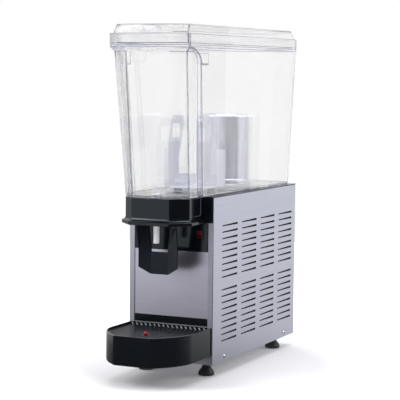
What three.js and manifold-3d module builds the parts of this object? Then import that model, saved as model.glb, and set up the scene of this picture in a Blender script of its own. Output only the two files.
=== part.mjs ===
// Cold drink dispenser with one clear bowl, a push lever tap and a cooled, louvred cabinet.
// Lengths are millimetres. X points right seen from the front, Y points back, Z points up.
import * as THREE from "three";
import { mergeVertices } from "three/addons/utils/BufferGeometryUtils.js";
import Module from "manifold-3d";

const wasm = await Module();
wasm.setup();

// Driving dimensions of the whole machine
const bodyWidth = 180;
const bodyDepth = 416;
const bodyHeight = 321.3;
const footHeight = 25;
const sheet = 1.2;
const gap = 0.3;
const overrun = 2;
const trayReach = 161;
const trayHeight = 56.4;
const trayRise = 16.5;
const deckThickness = 1.8;
const bowlHeight = 306.1;
const bowlFloor = 3.6;
const bowlWall = 3.5;
const bowlSideStep = 12;
const bowlRearStep = 8;
const noseReach = 88.8;
const noseSideStep = 22.4;
const noseHeight = 50.3;
const noseDrop = 0.8;
const tapSetback = 27.3;
const agitatorY = 95;
const evaporatorY = 241.5;
const evaporatorRadius = 48;
const evaporatorHeight = 150.8;

// Roundness of turned pieces
const fineSides = 32;
const roundSides = 20;
const smallSides = 10;
const pipeSides = 6;

const halfBody = bodyWidth / 2;
const innerHalf = halfBody - sheet - gap;
const bodyTop = footHeight + bodyHeight;
const deckBottom = bodyTop + gap;
const deckTop = deckBottom + deckThickness;
const bowlUnderside = deckTop + gap;
const bowlFloorTop = bowlUnderside + bowlFloor;
const bowlHalfWidth = halfBody - bowlSideStep;
const bowlRear = bodyDepth - bowlRearStep;
const rimHeight = bowlUnderside + bowlHeight;
const noseTop = deckTop - noseDrop;
const noseHalfWidth = halfBody - noseSideStep;
const noseBottom = noseTop - noseHeight;
const tapAxisY = tapSetback - noseReach;
const trayBottom = footHeight + trayRise;
const trayTop = trayBottom + trayHeight;
const evaporatorTop = bowlUnderside + evaporatorHeight;
const mergeStep = 1e-4;
const halfTurn = Math.PI;

// A closed geometry becomes a solid that can be joined and cut.
function toSolid(geometry) {
  const bare = geometry.index ? geometry.toNonIndexed() : geometry.clone();
  const corners = new THREE.BufferGeometry();
  corners.setAttribute("position", bare.getAttribute("position"));
  const merged = mergeVertices(corners, mergeStep);
  const vertProperties = merged.attributes.position.array;
  const triVerts = new Uint32Array(merged.index.array);
  return new wasm.Manifold(new wasm.Mesh({ numProp: 3, vertProperties, triVerts }));
}

// A solid becomes a geometry with flat faces.
function toGeometry(solid) {
  const cut = solid.getMesh();
  const geometry = new THREE.BufferGeometry();
  geometry.setAttribute("position", new THREE.BufferAttribute(new Float32Array(cut.vertProperties), 3));
  geometry.setIndex(new THREE.BufferAttribute(new Uint32Array(cut.triVerts), 1));
  const flat = geometry.toNonIndexed();
  flat.computeVertexNormals();
  return flat;
}

// A block from its low and high value along each axis.
function block(x, y, z) {
  const size = [x, y, z].map((span) => Math.abs(span[1] - span[0]));
  const middle = [x, y, z].map((span) => (span[0] + span[1]) / 2);
  return toSolid(new THREE.BoxGeometry(...size).translate(...middle));
}

// A round rod along one axis. The centre gives the other two coordinates, in X, Y, Z order.
function rod(axis, radius, centre, span, sides = roundSides) {
  const length = Math.abs(span[1] - span[0]);
  const middle = (span[0] + span[1]) / 2;
  const geometry = new THREE.CylinderGeometry(radius, radius, length, sides);
  if (axis === "x") geometry.rotateZ(-halfTurn / 2).translate(middle, centre[0], centre[1]);
  if (axis === "y") geometry.translate(centre[0], middle, centre[1]);
  if (axis === "z") geometry.rotateX(halfTurn / 2).translate(centre[0], centre[1], middle);
  return toSolid(geometry);
}

// A turned piece about Z or Y from a closed profile of [radius, height] points.
function turned(profile, centre, sides = roundSides, axis = "z") {
  const area = THREE.ShapeUtils.area(profile.map((p) => new THREE.Vector2(p[0], p[1])));
  const ordered = area > 0 ? profile : [...profile].reverse();
  const points = ordered.map((p) => new THREE.Vector2(p[0], p[1]));
  const closes = ordered[0][0] === 0 && ordered.at(-1)[0] === 0;
  if (!closes) points.push(points[0].clone());
  const geometry = new THREE.LatheGeometry(points, sides);
  if (axis === "z") geometry.rotateX(halfTurn / 2).translate(centre[0], centre[1], 0);
  if (axis === "y") geometry.translate(centre[0], 0, centre[1]);
  return toSolid(geometry);
}

// Joins rings of points, each at its own height, into one closed solid.
function loft(rings) {
  const flat = (ring) => ring.points.map((p) => new THREE.Vector2(p[0], p[1]));
  const turnsLeft = THREE.ShapeUtils.area(flat(rings[0])) > 0;
  const ordered = rings.map((ring) => ({
    z: ring.z,
    points: turnsLeft ? ring.points : [...ring.points].reverse(),
  }));
  const positions = [];
  const corner = (ring, i) => [...ring.points[i % ring.points.length], ring.z];
  const cap = (ring, upwards) => {
    for (const face of THREE.ShapeUtils.triangulateShape(flat(ring), [])) {
      const order = upwards ? face : [...face].reverse();
      for (const i of order) positions.push(...corner(ring, i));
    }
  };
  for (let level = 0; level < ordered.length - 1; level++) {
    const low = ordered[level];
    const high = ordered[level + 1];
    for (let i = 0; i < low.points.length; i++) {
      positions.push(...corner(low, i), ...corner(low, i + 1), ...corner(high, i + 1));
      positions.push(...corner(low, i), ...corner(high, i + 1), ...corner(high, i));
    }
  }
  cap(ordered[0], false);
  cap(ordered.at(-1), true);
  const geometry = new THREE.BufferGeometry();
  geometry.setAttribute("position", new THREE.Float32BufferAttribute(positions, 3));
  return toSolid(geometry);
}

// A straight prism of one outline. Along X the outline is [y, z], along Y it is [x, z].
function prism(axis, outline, span) {
  const low = Math.min(...span);
  const high = Math.max(...span);
  const shape = new THREE.Shape(outline.map((p) => new THREE.Vector2(p[0], p[1])));
  const geometry = new THREE.ExtrudeGeometry(shape, { depth: high - low, bevelEnabled: false });
  if (axis === "x") geometry.rotateX(halfTurn / 2).rotateZ(halfTurn / 2).translate(low, 0, 0);
  if (axis === "y") geometry.rotateX(halfTurn / 2).translate(0, high, 0);
  if (axis === "z") geometry.translate(0, 0, low);
  return toSolid(geometry);
}

// A round tube along a curve, closed at both ends.
function tube(curve, radius, steps, sides = pipeSides) {
  const section = new THREE.Shape();
  for (let i = 0; i < sides; i++) {
    const angle = (i / sides) * 2 * halfTurn;
    const [a, b] = [radius * Math.cos(angle), radius * Math.sin(angle)];
    if (i === 0) section.moveTo(a, b);
    else section.lineTo(a, b);
  }
  section.closePath();
  const shape = { steps, bevelEnabled: false, extrudePath: curve };
  return toSolid(new THREE.ExtrudeGeometry(section, shape));
}

// Moves every edge of a convex outline inwards by the same distance.
function inset(points, distance) {
  const turnsLeft = THREE.ShapeUtils.area(points.map((p) => new THREE.Vector2(p[0], p[1]))) > 0;
  const side = turnsLeft ? 1 : -1;
  const moved = points.map((p, i) => {
    const q = points[(i + 1) % points.length];
    const length = Math.hypot(q[0] - p[0], q[1] - p[1]);
    const along = [(q[0] - p[0]) / length, (q[1] - p[1]) / length];
    const inwards = [-along[1] * side, along[0] * side];
    return { at: [p[0] + inwards[0] * distance, p[1] + inwards[1] * distance], along };
  });
  return moved.map((line, i) => {
    const before = moved.at(i - 1);
    const across = before.along[0] * line.along[1] - before.along[1] * line.along[0];
    const dx = line.at[0] - before.at[0];
    const dy = line.at[1] - before.at[1];
    const reach = (dx * line.along[1] - dy * line.along[0]) / across;
    return [before.at[0] + before.along[0] * reach, before.at[1] + before.along[1] * reach];
  });
}

// Point part of the way from one place to another.
const between = (low, high, share) => low + (high - low) * share;

// Mirrors the points of the right half into one outline that runs round both sides.
const bothSides = (right) => [...right, ...[...right].reverse().map((p) => [-p[0], p[1]])];

// A quarter turn of points round a corner of the rear right, from the side to the back.
function rearCorner(halfWidth, rear, radius, steps) {
  const points = [];
  for (let i = 0; i <= steps; i++) {
    const angle = (i / steps) * (halfTurn / 2);
    const x = halfWidth - radius + radius * Math.cos(angle);
    points.push([x, rear - radius + radius * Math.sin(angle)]);
  }
  return points;
}

const joined = (solids) => solids.reduce((all, next) => all.add(next));
const cutAll = (solid, cutters) => cutters.reduce((left, next) => left.subtract(next), solid);

function finish(color, roughness, metalness, opacity = 1) {
  const transparent = opacity < 1;
  return () => new THREE.MeshStandardMaterial({ color, roughness, metalness, opacity, transparent });
}
const steel = finish("#c3c3c8", 0.35, 0.9);
const brightSteel = finish("#d2d3da", 0.2, 1);
const blackPlastic = finish("#101216", 0.25, 0);
const whitePlastic = finish("#e6e7ec", 0.45, 0);
const clearPlastic = finish("#e9ebf7", 0.08, 0, 0.35);
const rubber = finish("#24262b", 0.8, 0);
const sealRubber = finish("#d9d9dd", 0.7, 0);
const redPlastic = finish("#a01618", 0.35, 0);
const copper = finish("#b06a48", 0.35, 0.9);
const darkMetal = finish("#23252a", 0.5, 0.6);
const aluminium = finish("#b9bcc2", 0.4, 0.9);

const machine = new THREE.Group();
function piece(name, solid, material, parent = machine, place = [0, 0, 0]) {
  const mesh = new THREE.Mesh(toGeometry(solid), material());
  mesh.name = name;
  mesh.position.set(...place);
  parent.add(mesh);
  return mesh;
}

// Base pan: a folded steel tray that carries the cooling unit and the feet
const pan = { rise: 1, wallHeight: 16, front: 3 };
pan.floor = footHeight + pan.rise;
pan.floorTop = pan.floor + sheet;
pan.wallTop = pan.floor + pan.wallHeight;
pan.rear = bodyDepth - pan.front;
const foot = { sideInset: 25, frontY: 27, rearInset: 58, radius: 16.5, lobes: 8, lobeShare: 0.07 };
foot.x = halfBody - foot.sideInset;
foot.rearY = bodyDepth - foot.rearInset;
foot.padTop = 7.5;
foot.slopeTop = 18;
foot.skirt = 1.5;
foot.neckRadius = 8;
foot.studRadius = 3;
foot.studRise = 9;
const footPlaces = [
  ["foot_front_left", -foot.x, foot.frontY],
  ["foot_front_right", foot.x, foot.frontY],
  ["foot_rear_left", -foot.x, foot.rearY],
  ["foot_rear_right", foot.x, foot.rearY],
];
const sideScrew = { rise: 9, frontY: 54.4, rearInset: 56.9, shank: 1.9, reach: 6 };
sideScrew.z = footHeight + sideScrew.rise;
sideScrew.rearY = bodyDepth - sideScrew.rearInset;
sideScrew.hole = sideScrew.shank + gap;
sideScrew.headRadius = 4.2;
sideScrew.headHeight = 1.8;
const screwPlaces = [];
for (const [word, side] of [["left", -1], ["right", 1]]) {
  screwPlaces.push(["screw_" + word + "_front", side, sideScrew.frontY]);
  screwPlaces.push(["screw_" + word + "_rear", side, sideScrew.rearY]);
}

function basePan() {
  const outer = block([-innerHalf, innerHalf], [pan.front, pan.rear], [pan.floor, pan.wallTop]);
  const edge = innerHalf - sheet;
  const room = block(
    [-edge, edge],
    [pan.front + sheet, pan.rear - sheet],
    [pan.floorTop, pan.wallTop + overrun],
  );
  const studHoles = footPlaces.map(([, x, y]) =>
    rod("z", foot.studRadius + gap, [x, y], [pan.floor - overrun, pan.floorTop + overrun], smallSides),
  );
  const screwHoles = screwPlaces.map(([, side, y]) =>
    rod("x", sideScrew.hole, [y, sideScrew.z], [side * (edge - overrun), side * halfBody], smallSides),
  );
  return cutAll(outer, [room, ...studHoles, ...screwHoles]);
}
piece("base_pan", basePan(), steel);

// Levelling feet: a lobed knob on a threaded stud
function levellingFoot() {
  const neckTop = footHeight + pan.rise - gap;
  const lobed = (radius, z) => {
    const points = [];
    const steps = foot.lobes * 3;
    for (let i = 0; i < steps; i++) {
      const angle = (i / steps) * 2 * halfTurn;
      const reach = radius * (1 - foot.lobeShare + foot.lobeShare * Math.cos(angle * foot.lobes));
      points.push([reach * Math.cos(angle), reach * Math.sin(angle)]);
    }
    return { z, points };
  };
  const knob = loft([
    lobed(foot.radius - foot.skirt, 0),
    lobed(foot.radius, foot.skirt),
    lobed(foot.radius, foot.padTop),
    lobed((foot.radius + foot.neckRadius) / 2, (foot.padTop + foot.slopeTop) / 2),
    lobed(foot.neckRadius, foot.slopeTop),
  ]);
  const neck = rod("z", foot.neckRadius, [0, 0], [foot.padTop + overrun, neckTop], smallSides);
  const stud = rod("z", foot.studRadius, [0, 0], [foot.padTop, neckTop + foot.studRise], smallSides);
  return joined([knob, neck, stud]);
}
for (const [name, x, y] of footPlaces) {
  piece(name, levellingFoot(), rubber, machine, [x, y, 0]);
}

// Side panels: stainless sheet with a return round the front and the back, and pressed louvres
const panelReturn = 11.2;
const louvre = { length: 73, height: 3.5, firstY: 40, pitchY: 94, columns: 4 };
louvre.topInset = 56.3;
louvre.bottomInset = 41.08;
louvre.topZ = bodyTop - louvre.topInset;
louvre.rows = 9;
louvre.groups = 2;
louvre.lastStep = louvre.groups * (louvre.rows + 1) - 2;
louvre.pitchZ = (louvre.topZ - footHeight - louvre.bottomInset) / louvre.lastStep;

function sidePanel(side) {
  const outside = side * halfBody;
  const inside = side * (halfBody - sheet);
  const edge = side * (halfBody - panelReturn);
  const section = [
    [edge, 0],
    [outside, 0],
    [outside, bodyDepth],
    [edge, bodyDepth],
    [edge, bodyDepth - sheet],
    [inside, bodyDepth - sheet],
    [inside, sheet],
    [edge, sheet],
  ];
  const folded = loft([footHeight, bodyTop].map((z) => ({ z, points: section })));
  const cutters = [];
  const across = [side * (halfBody - sheet - overrun), side * (halfBody + overrun)];
  for (let column = 0; column < louvre.columns; column++) {
    const y = louvre.firstY + column * louvre.pitchY;
    for (let group = 0; group < louvre.groups; group++) {
      for (let row = 0; row < louvre.rows; row++) {
        const step = group * (louvre.rows + 1) + row;
        const z0 = louvre.topZ - step * louvre.pitchZ;
        cutters.push(block(across, [y, y + louvre.length], [z0 - louvre.height / 2, z0 + louvre.height / 2]));
      }
    }
  }
  for (const [, screwSide, y] of screwPlaces) {
    if (screwSide === side) cutters.push(rod("x", sideScrew.hole, [y, sideScrew.z], across, smallSides));
  }
  return folded.subtract(joined(cutters));
}
piece("side_panel_left", sidePanel(-1), steel);
piece("side_panel_right", sidePanel(1), steel);

// Panel screws: pan heads that hold the side panels to the base pan
function panelScrew(side) {
  const under = side * (halfBody + gap);
  const top = side * (halfBody + gap + sideScrew.headHeight);
  const head = rod("x", sideScrew.headRadius, [0, 0], [under, top], smallSides);
  const shank = rod("x", sideScrew.shank, [0, 0], [side * (halfBody - sideScrew.reach), top], smallSides);
  return head.add(shank);
}
for (const [name, side, y] of screwPlaces) {
  piece(name, panelScrew(side), brightSteel, machine, [0, y, sideScrew.z]);
}

// Front panel: one stainless sheet behind the side panels' returns
const frontPanel = { front: sheet + gap, top: noseBottom + gap };
frontPanel.back = frontPanel.front + sheet;
const betweenReturns = halfBody - panelReturn - gap;
const controlPanel = { height: 54.5, top: noseBottom - gap, front: -1.5 };
controlPanel.bottom = controlPanel.top - controlPanel.height;
const switches = { sideInset: 27.4, drop: 21.5, bezelX: 7.5, bezelZ: 10.5, bezelDepth: 1.7 };
switches.x = halfBody - switches.sideInset;
switches.z = controlPanel.top - switches.drop;
switches.rockerX = 4.7;
switches.rockerZ = 7.6;
switches.rockerFront = 2.8;
switches.rockerNotch = 1.5;
switches.rockerTilt = 10;
switches.pivotDepth = 1.5;
switches.wellX = switches.rockerX + gap;
switches.wellZ = 8.7;
switches.wellDepth = 9;
switches.wall = 0.6;
switches.bodyX = switches.wellX + 2 * switches.wall;
switches.bodyZ = switches.wellZ + switches.wall;
switches.bodyDepth = 22;
const switchSides = [["left", -1], ["right", 1]];
const switchCutters = switchSides.map(([, side]) =>
  block(
    [side * (switches.x - switches.bodyX - gap), side * (switches.x + switches.bodyX + gap)],
    [controlPanel.front - overrun, frontPanel.back + overrun],
    [switches.z - switches.bodyZ - gap, switches.z + switches.bodyZ + gap],
  ),
);
const frontSheet = block(
  [-innerHalf, innerHalf],
  [frontPanel.front, frontPanel.back],
  [pan.wallTop + gap, frontPanel.top],
);
const frontApron = block(
  [-innerHalf, innerHalf],
  [frontPanel.front, pan.front - gap],
  [footHeight, frontPanel.top],
);
piece("front_panel", cutAll(frontSheet.add(frontApron), switchCutters), steel);

// Control panel: black moulded plate above the steel, with two rocker switches
const controlPlate = block(
  [-betweenReturns, betweenReturns],
  [controlPanel.front, sheet],
  [controlPanel.bottom, controlPanel.top],
);
piece("control_panel", cutAll(controlPlate, switchCutters), blackPlastic);

// Bare black strip at the foot of the front panel
const strip = { rise: 1.6, height: 14.7, front: 0.2 };
strip.bottom = trayTop + strip.rise;
strip.top = strip.bottom + strip.height;
piece(
  "front_strip",
  block([-betweenReturns, betweenReturns], [strip.front, sheet], [strip.bottom, strip.top]),
  blackPlastic,
);

// Rocker switches: a snap-in housing with a bezel, and a red rocker on a pivot
function switchHousing() {
  const bezelBack = controlPanel.front - gap;
  const bezelFront = bezelBack - switches.bezelDepth;
  const bezel = block(
    [-switches.bezelX, switches.bezelX],
    [bezelFront, bezelBack],
    [-switches.bezelZ, switches.bezelZ],
  );
  const body = block(
    [-switches.bodyX, switches.bodyX],
    [bezelFront + gap, bezelFront + switches.bodyDepth],
    [-switches.bodyZ, switches.bodyZ],
  );
  const well = block(
    [-switches.wellX, switches.wellX],
    [bezelFront - overrun, bezelFront + switches.wellDepth],
    [-switches.wellZ, switches.wellZ],
  );
  return bezel.add(body).subtract(well);
}
function rocker() {
  const front = -switches.pivotDepth - switches.rockerFront;
  const outline = [
    [front, switches.rockerZ],
    [front + switches.rockerNotch, 0],
    [front, -switches.rockerZ],
    [0, -switches.rockerZ],
    [switches.pivotDepth, 0],
    [0, switches.rockerZ],
  ];
  return prism("x", outline, [-switches.rockerX, switches.rockerX]);
}
switches.faceY = controlPanel.front - gap - switches.bezelDepth;
switches.pivotY = switches.faceY + switches.pivotDepth;
for (const [word, side] of switchSides) {
  const place = [side * switches.x, 0, switches.z];
  piece("switch_housing_" + word, switchHousing(), blackPlastic, machine, place);
  const pivot = [side * switches.x, switches.pivotY, switches.z];
  const key = piece("switch_rocker_" + word, rocker(), redPlastic, machine, pivot);
  key.rotation.x = THREE.MathUtils.degToRad(-switches.rockerTilt);
}

// Top deck: black moulding on the cabinet that the bowl stands on
const deck = { skirt: 16, wall: 1.5, evaporatorHole: 40 };
function topDeck() {
  const plate = block([-halfBody, halfBody], [0, bodyDepth], [deckBottom, deckTop]);
  const skirtZ = [deckBottom - deck.skirt, deckBottom + deckThickness / 2];
  const skirt = block([-innerHalf, innerHalf], [pan.front, pan.rear], skirtZ);
  const edge = innerHalf - deck.wall;
  const room = block(
    [-edge, edge],
    [pan.front + deck.wall, pan.rear - deck.wall],
    [deckBottom - deck.skirt - overrun, deckBottom],
  );
  const hole = rod(
    "z",
    deck.evaporatorHole,
    [0, evaporatorY],
    [deckBottom - overrun, deckTop + overrun],
  );
  return plate.add(skirt.subtract(room)).subtract(hole);
}
piece("top_deck", topDeck(), blackPlastic);

// Nose cover: black shell under the bowl's neck, with a flange round its foot and a plate behind it
const nose = { chamferRun: 28.2, chamferSetback: 29.8, wall: 3, lipHeight: 6.7, filletHeight: 6 };
nose.frontHalf = noseHalfWidth - nose.chamferRun;
nose.chamferY = noseReach - nose.chamferSetback;
nose.lipTop = noseBottom + nose.lipHeight;
nose.filletTop = nose.lipTop + nose.filletHeight;
nose.lipSpread = 6.4;
nose.lipOverhang = 8.2;
nose.lipCornerOut = 2.1;
nose.lipCornerForward = 3;
nose.lipFrontHalf = nose.frontHalf + nose.lipCornerOut;
nose.lipReach = noseReach + nose.lipOverhang;
nose.lipHalf = noseHalfWidth + nose.lipSpread;
nose.lipChamferY = nose.chamferY + nose.lipCornerForward;
nose.lipRound = 0.8;
nose.filletShares = [[0.25, 0.45], [0.55, 0.16]];
nose.plateRise = 1.2;
nose.plateBottom = noseBottom + nose.plateRise;
nose.plateFront = 3;
const boss = { radius: 12, bore: 8.5, depth: 24.7 };
boss.bottom = bowlUnderside - boss.depth;
const pivot = { setback: 9.8, rise: 13.7, pinRadius: 2.5, barrelRadius: 5 };
pivot.y = pivot.setback - noseReach;
pivot.z = noseBottom + pivot.rise;
const cheek = { inside: 33.5, thickness: 3, forward: 3.5, behind: 7, below: 6 };
cheek.front = pivot.y - cheek.forward;
cheek.back = pivot.y + cheek.behind;
cheek.bottom = pivot.z - cheek.below;

function noseOutline(flangeShare, back) {
  const flared = (shell, flange) => between(shell, flange, flangeShare);
  const side = flared(noseHalfWidth, nose.lipHalf);
  return bothSides([
    [flared(nose.frontHalf, nose.lipFrontHalf), -flared(noseReach, nose.lipReach)],
    [side, -flared(nose.chamferY, nose.lipChamferY)],
    [side, back],
  ]);
}
function noseCover() {
  const back = -gap;
  const lip = noseOutline(1, back);
  const fillet = nose.filletShares.map(([rise, share]) => ({
    z: between(nose.lipTop, nose.filletTop, rise),
    points: noseOutline(share, back),
  }));
  const shell = loft([
    { z: noseBottom, points: inset(lip, nose.lipRound) },
    { z: noseBottom + nose.lipRound, points: lip },
    { z: nose.lipTop - nose.lipRound, points: lip },
    { z: nose.lipTop, points: inset(lip, nose.lipRound) },
    ...fillet,
    { z: nose.filletTop, points: noseOutline(0, back) },
    { z: noseTop, points: noseOutline(0, back) },
  ]);
  const room = inset(noseOutline(0, back), nose.wall);
  const hollow = loft([
    { z: noseBottom - overrun, points: room },
    { z: noseTop - nose.wall, points: room },
  ]);
  const plate = block([-halfBody, halfBody], [-nose.plateFront, -gap], [nose.plateBottom, deckTop]);
  const bossHole = rod("z", boss.radius + 2 * gap, [0, tapAxisY], [bodyTop - 2 * nose.wall, deckTop]);
  const cheeks = [-1, 1].map((side) =>
    block(
      [side * cheek.inside, side * (cheek.inside + cheek.thickness)],
      [cheek.front, cheek.back],
      [cheek.bottom, noseTop - nose.wall / 2],
    ),
  );
  const reach = cheek.inside + cheek.thickness + overrun;
  const pinHole = rod("x", pivot.pinRadius + gap, [pivot.y, pivot.z], [-reach, reach], smallSides);
  return cutAll(joined([shell.subtract(hollow), plate, ...cheeks]), [bossHole, pinHole]);
}
piece("nose_cover", noseCover(), blackPlastic);

// Lever pin and its return spring, a coil wound round the middle of the pin
const pinHead = 1.5;
const pinReach = cheek.inside + cheek.thickness + pinHead;
piece(
  "lever_pin",
  rod("x", pivot.pinRadius, [0, 0], [-pinReach, pinReach], smallSides),
  brightSteel,
  machine,
  [0, pivot.y, pivot.z],
);
const spring = { radius: 4.2, wire: 0.8, turns: 4, turnRise: 3, stepsPerTurn: 7, sides: 4 };
class CoilCurve extends THREE.Curve {
  getPoint(share) {
    const angle = share * spring.turns * 2 * halfTurn;
    const along = (share - 1 / 2) * spring.turns * spring.turnRise;
    return new THREE.Vector3(along, spring.radius * Math.cos(angle), spring.radius * Math.sin(angle));
  }
}
const coil = tube(new CoilCurve(), spring.wire, spring.turns * spring.stepsPerTurn, spring.sides);
piece("lever_spring", coil, brightSteel, machine, [0, pivot.y, pivot.z]);

// Tap lever: a U-shaped frame whose facetted plate the cup pushes back
const lever = { length: 110, plateHalf: 18.2, plateHeight: 42.5, thickness: 4, setback: 29.6 };
lever.plateBottom = pivot.z - lever.length;
lever.plateTop = lever.plateBottom + lever.plateHeight;
lever.plateY = pivot.y + lever.setback;
lever.wingHalf = 40.9;
lever.wingForward = 7.2;
lever.wingRise = 13;
lever.wingY = lever.plateY - lever.wingForward;
lever.wingBottom = lever.plateBottom + lever.wingRise;
lever.kneeRise = 6.5;
lever.kneeZ = lever.plateTop + lever.kneeRise;
lever.legDrop = 19;
lever.legTop = pivot.z - lever.legDrop;
lever.legSpread = 5;
lever.legFlare = 1.1;
lever.legForward = 7.4;
lever.legInner = [lever.plateHalf + lever.legSpread, lever.plateY];
lever.legOuter = [lever.wingHalf + lever.legFlare, lever.wingY - lever.legForward];
lever.crownSlack = 0.8;
lever.crownWidth = 12;
lever.crownOut = cheek.inside - lever.crownSlack;
lever.crownIn = lever.crownOut - lever.crownWidth;
lever.neckDrop = 8;
lever.neckSetback = 12;
lever.neckZ = pivot.z - lever.neckDrop;
lever.neckInner = [lever.crownIn, pivot.y + lever.neckSetback];
lever.neckOuter = [lever.crownOut, pivot.y + lever.neckDrop];
lever.crownInner = [lever.crownIn, pivot.y];
lever.crownOuter = [lever.crownOut, pivot.y];
lever.armWidth = 4;
lever.armHalf = 2.5;
lever.forkInner = 6.7;
lever.forkRadius = 3;

function leverLeg(side) {
  const section = (z, inner, outer) => ({
    z,
    points: [
      [side * inner[0], inner[1]],
      [side * outer[0], outer[1]],
      [side * outer[0], outer[1] + lever.thickness],
      [side * inner[0], inner[1] + lever.thickness],
    ],
  });
  const foot = [lever.plateHalf - gap, lever.plateY];
  const wing = [lever.wingHalf, lever.wingY];
  const leg = loft([
    section(lever.plateBottom, foot, wing),
    section(lever.kneeZ, foot, wing),
    section(lever.legTop, lever.legInner, lever.legOuter),
    section(lever.neckZ, lever.neckInner, lever.neckOuter),
    section(pivot.z, lever.crownInner, lever.crownOuter),
  ]);
  const reach = lever.wingHalf + overrun;
  const drop = ((lever.wingBottom - lever.plateBottom) * (reach - lever.plateHalf)) /
    (lever.wingHalf - lever.plateHalf);
  const corner = prism(
    "y",
    [
      [side * lever.plateHalf, lever.plateBottom],
      [side * reach, lever.plateBottom + drop],
      [side * reach, lever.plateBottom - overrun],
      [side * lever.plateHalf, lever.plateBottom - overrun],
    ],
    [lever.wingY - overrun, lever.plateY + lever.thickness + overrun],
  );
  return leg.subtract(corner);
}
function tapLever() {
  const solids = [
    block(
      [-lever.plateHalf, lever.plateHalf],
      [lever.plateY, lever.plateY + lever.thickness],
      [lever.plateBottom, lever.plateTop],
    ),
  ];
  const forkY = tapAxisY;
  for (const side of [-1, 1]) {
    const barrel = [side * lever.crownIn, side * (cheek.inside - gap)];
    const armX = [side * lever.crownIn, side * (lever.crownIn + lever.armWidth)];
    const forkX = [side * lever.forkInner, armX[1]];
    solids.push(leverLeg(side));
    solids.push(rod("x", pivot.barrelRadius, [pivot.y, pivot.z], barrel, smallSides));
    solids.push(block(armX, [pivot.y, forkY], [pivot.z - lever.armHalf, pivot.z + lever.armHalf]));
    solids.push(rod("x", lever.forkRadius, [forkY, pivot.z], forkX, smallSides));
  }
  const reach = pinReach;
  const bore = rod("x", pivot.pinRadius + gap, [pivot.y, pivot.z], [-reach, reach], smallSides);
  return joined(solids).subtract(bore);
}
piece("tap_lever", tapLever(), blackPlastic);

// Tap piston: white plug that slides in the bowl's outlet, hollow below its side ports
const piston = { shoulder: pivot.z + lever.forkRadius + gap, radius: boss.bore - gap, tubeRadius: 6.1 };
piston.tubeLength = 52.8;
piston.tubeBottom = piston.shoulder - piston.tubeLength;
piston.tipRadius = 5.8;
piston.bore = 4;
piston.headRadius = 10.5;
piston.headHeight = 2;
piston.portDrop = 5.8;
piston.portBottom = bowlFloorTop - piston.portDrop;
piston.portHeight = 5;
piston.portHalf = 4;
piston.grooveDepth = 2.1;
piston.grooveRadius = piston.radius - piston.grooveDepth;
piston.grooveHeight = 2.8;
piston.ringRise = 4;
piston.ringSpacing = 13;
piston.lowerRing = boss.bottom + piston.ringRise;
piston.upperRing = piston.lowerRing + piston.ringSpacing;
piston.headBottom = bowlFloorTop + gap;
const loop = { half: 7.2, wire: 1.7, straight: 8.6, steps: 16 };

function tapPiston() {
  const headTop = piston.headBottom + piston.headHeight;
  const outside = [
    [0, headTop],
    [piston.headRadius, headTop],
    [piston.headRadius, piston.headBottom],
    [piston.radius, piston.headBottom],
    [piston.radius, piston.shoulder],
    [piston.tubeRadius, piston.shoulder],
    [piston.tipRadius, piston.tubeBottom],
    [0, piston.tubeBottom],
  ];
  const grooves = [piston.lowerRing, piston.upperRing].map((z) => {
    const half = piston.grooveHeight / 2;
    const ring = [
      [piston.grooveRadius, z - half],
      [piston.radius + overrun, z - half],
      [piston.radius + overrun, z + half],
      [piston.grooveRadius, z + half],
    ];
    return turned(ring, [0, 0]);
  });
  const portTop = piston.portBottom + piston.portHeight;
  const bore = rod("z", piston.bore, [0, 0], [piston.tubeBottom - overrun, portTop], smallSides);
  const port = block(
    [-piston.headRadius, piston.headRadius],
    [-piston.portHalf + gap, piston.portHalf - gap],
    [piston.portBottom, portTop],
  );
  const legTop = headTop + loop.straight;
  const path = new THREE.CurvePath();
  const bend = new THREE.Curve();
  bend.getPoint = (share) => {
    const angle = halfTurn * (1 - share);
    return new THREE.Vector3(loop.half * Math.cos(angle), 0, legTop + loop.half * Math.sin(angle));
  };
  const root = headTop - loop.wire / 2;
  path.add(new THREE.LineCurve3(new THREE.Vector3(-loop.half, 0, root), bend.getPoint(0)));
  path.add(bend);
  path.add(new THREE.LineCurve3(bend.getPoint(1), new THREE.Vector3(loop.half, 0, root)));
  const handle = tube(path, loop.wire, loop.steps);
  return cutAll(turned(outside, [0, 0]).add(handle), [...grooves, bore, port]);
}
piece("tap_piston", tapPiston(), whitePlastic, machine, [0, tapAxisY, 0]);

// Piston rings: two rubber rings in the piston's grooves
const ring = { section: 0.95, squeeze: 0.1, sides: 4 };
ring.middle = piston.radius + ring.squeeze - ring.section;
function pistonRing() {
  const profile = [];
  for (let i = 0; i < ring.sides; i++) {
    const angle = (i / ring.sides) * 2 * halfTurn;
    profile.push([ring.middle + ring.section * Math.cos(angle), ring.section * Math.sin(angle)]);
  }
  return turned(profile, [0, 0]);
}
piece("piston_ring_lower", pistonRing(), rubber, machine, [0, tapAxisY, piston.lowerRing]);
piece("piston_ring_upper", pistonRing(), rubber, machine, [0, tapAxisY, piston.upperRing]);

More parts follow.
